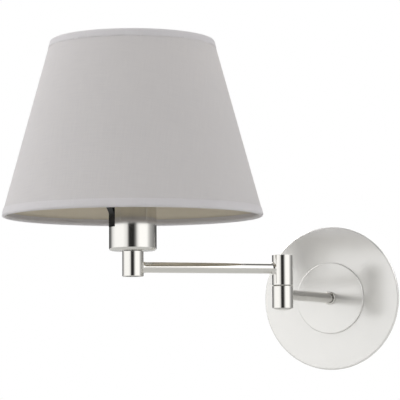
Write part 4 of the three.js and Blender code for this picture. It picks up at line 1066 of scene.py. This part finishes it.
def studio():
    """A white backdrop for the camera, and for all else two tall soft boxes with a dark gap between."""
    world = bpy.data.worlds.new("studio")
    bpy.context.scene.world = world
    world.use_nodes = True
    tree = world.node_tree
    tree.nodes.clear()
    place = add(tree, "ShaderNodeTexCoord")
    way = add(tree, "ShaderNodeSeparateXYZ", {"Vector": place.outputs["Generated"]})
    heading = add(tree, "ShaderNodeMath", {0: way.outputs["Y"], 1: way.outputs["X"]}, operation="ARCTAN2")
    towards_camera = CAMERA_TURN - math.radians(90)
    turned_by = add(tree, "ShaderNodeMath", {0: heading.outputs[0], 1: towards_camera}, operation="SUBTRACT")
    wrapped = add(tree, "ShaderNodeMath", {
        0: turned_by.outputs[0], 1: math.pi, 2: -math.pi}, operation="WRAP")
    share = add(tree, "ShaderNodeMapRange", {
        "Value": wrapped.outputs[0], "From Min": -math.pi, "From Max": math.pi})
    elevation = add(tree, "ShaderNodeMath", {0: way.outputs["Z"]}, operation="ARCSINE")

    def by_height(low, high, start=0.0, end=1.0):
        return add(tree, "ShaderNodeMapRange", {
            "Value": elevation.outputs[0], "From Min": math.radians(low), "From Max": math.radians(high),
            "To Min": start, "To Max": end}, interpolation_type="SMOOTHSTEP").outputs["Result"]

    def by_heading(stations):
        ramp = add(tree, "ShaderNodeValToRGB", {"Fac": share.outputs["Result"]})
        stops = ramp.color_ramp.elements
        for i, (degrees, radiance) in enumerate(stations):
            at = (degrees + 180) / 360
            stop = stops[i] if i < 2 else stops.new(at)
            stop.position = at
            value = radiance / STUDIO_PEAK
            stop.color = (value, value, value, 1)
        return add(tree, "ShaderNodeMath", {
            0: ramp.outputs["Color"], 1: STUDIO_PEAK}, operation="MULTIPLY").outputs[0]

    boxes = add(tree, "ShaderNodeMix", {
        "Factor": by_height(*TO_HIGH), 2: by_heading(STUDIO), 3: by_heading(STUDIO_HIGH)}, data_type="FLOAT")
    height = add(tree, "ShaderNodeMath", {
        0: by_height(*TO_OVERHEAD, start=1.0, end=0.0), 1: by_height(*FROM_BELOW)}, operation="MULTIPLY")
    above = add(tree, "ShaderNodeMath", {0: way.outputs["Z"], 1: 0.0}, operation="GREATER_THAN")
    rest = add(tree, "ShaderNodeMapRange", {"Value": above.outputs[0], "To Min": BELOW, "To Max": OVERHEAD})
    light = add(tree, "ShaderNodeMix", {
        "Factor": height.outputs[0], 2: rest.outputs["Result"], 3: boxes.outputs[0]}, data_type="FLOAT")
    soft = add(tree, "ShaderNodeBackground", {"Color": (1, 0.998, 0.992, 1), "Strength": light.outputs[0]})
    backdrop = add(tree, "ShaderNodeBackground", {"Color": (1, 1, 1, 1), "Strength": 1.0})
    path = add(tree, "ShaderNodeLightPath")
    shown = add(tree, "ShaderNodeMixShader", {
        0: path.outputs["Is Camera Ray"], 1: soft.outputs[0], 2: backdrop.outputs[0]})
    add(tree, "ShaderNodeOutputWorld", {"Surface": shown.outputs[0]})


def floor():
    """A pale floor, well below the lamp and wide enough to fill any view of it from above."""
    drop = 0.55
    radius = 12
    thickness = 0.01
    finish, tree, shader = begin("pale_floor")
    worn = grain(tree, 300 * MM, detail=2.0)
    tree.links.new(tint(tree, worn.outputs["Fac"], "#cbcbc9", "#d1d1cf"), shader.inputs["Base Color"])
    shader.inputs["Roughness"].default_value = 0.8
    top = cad_box[0].z - drop
    bottom = top - thickness
    mesh = lathe("floor", [(0, bottom), (radius, bottom), (radius, top), (0, top)], on_upright(HEAD), 96)
    piece = bpy.data.objects.new("floor", tidy_mesh(mesh))
    bpy.context.scene.collection.objects.link(piece)
    mesh.materials.append(finish)


camera()
studio()
floor()
bpy.context.scene.view_settings.view_transform = "Standard"
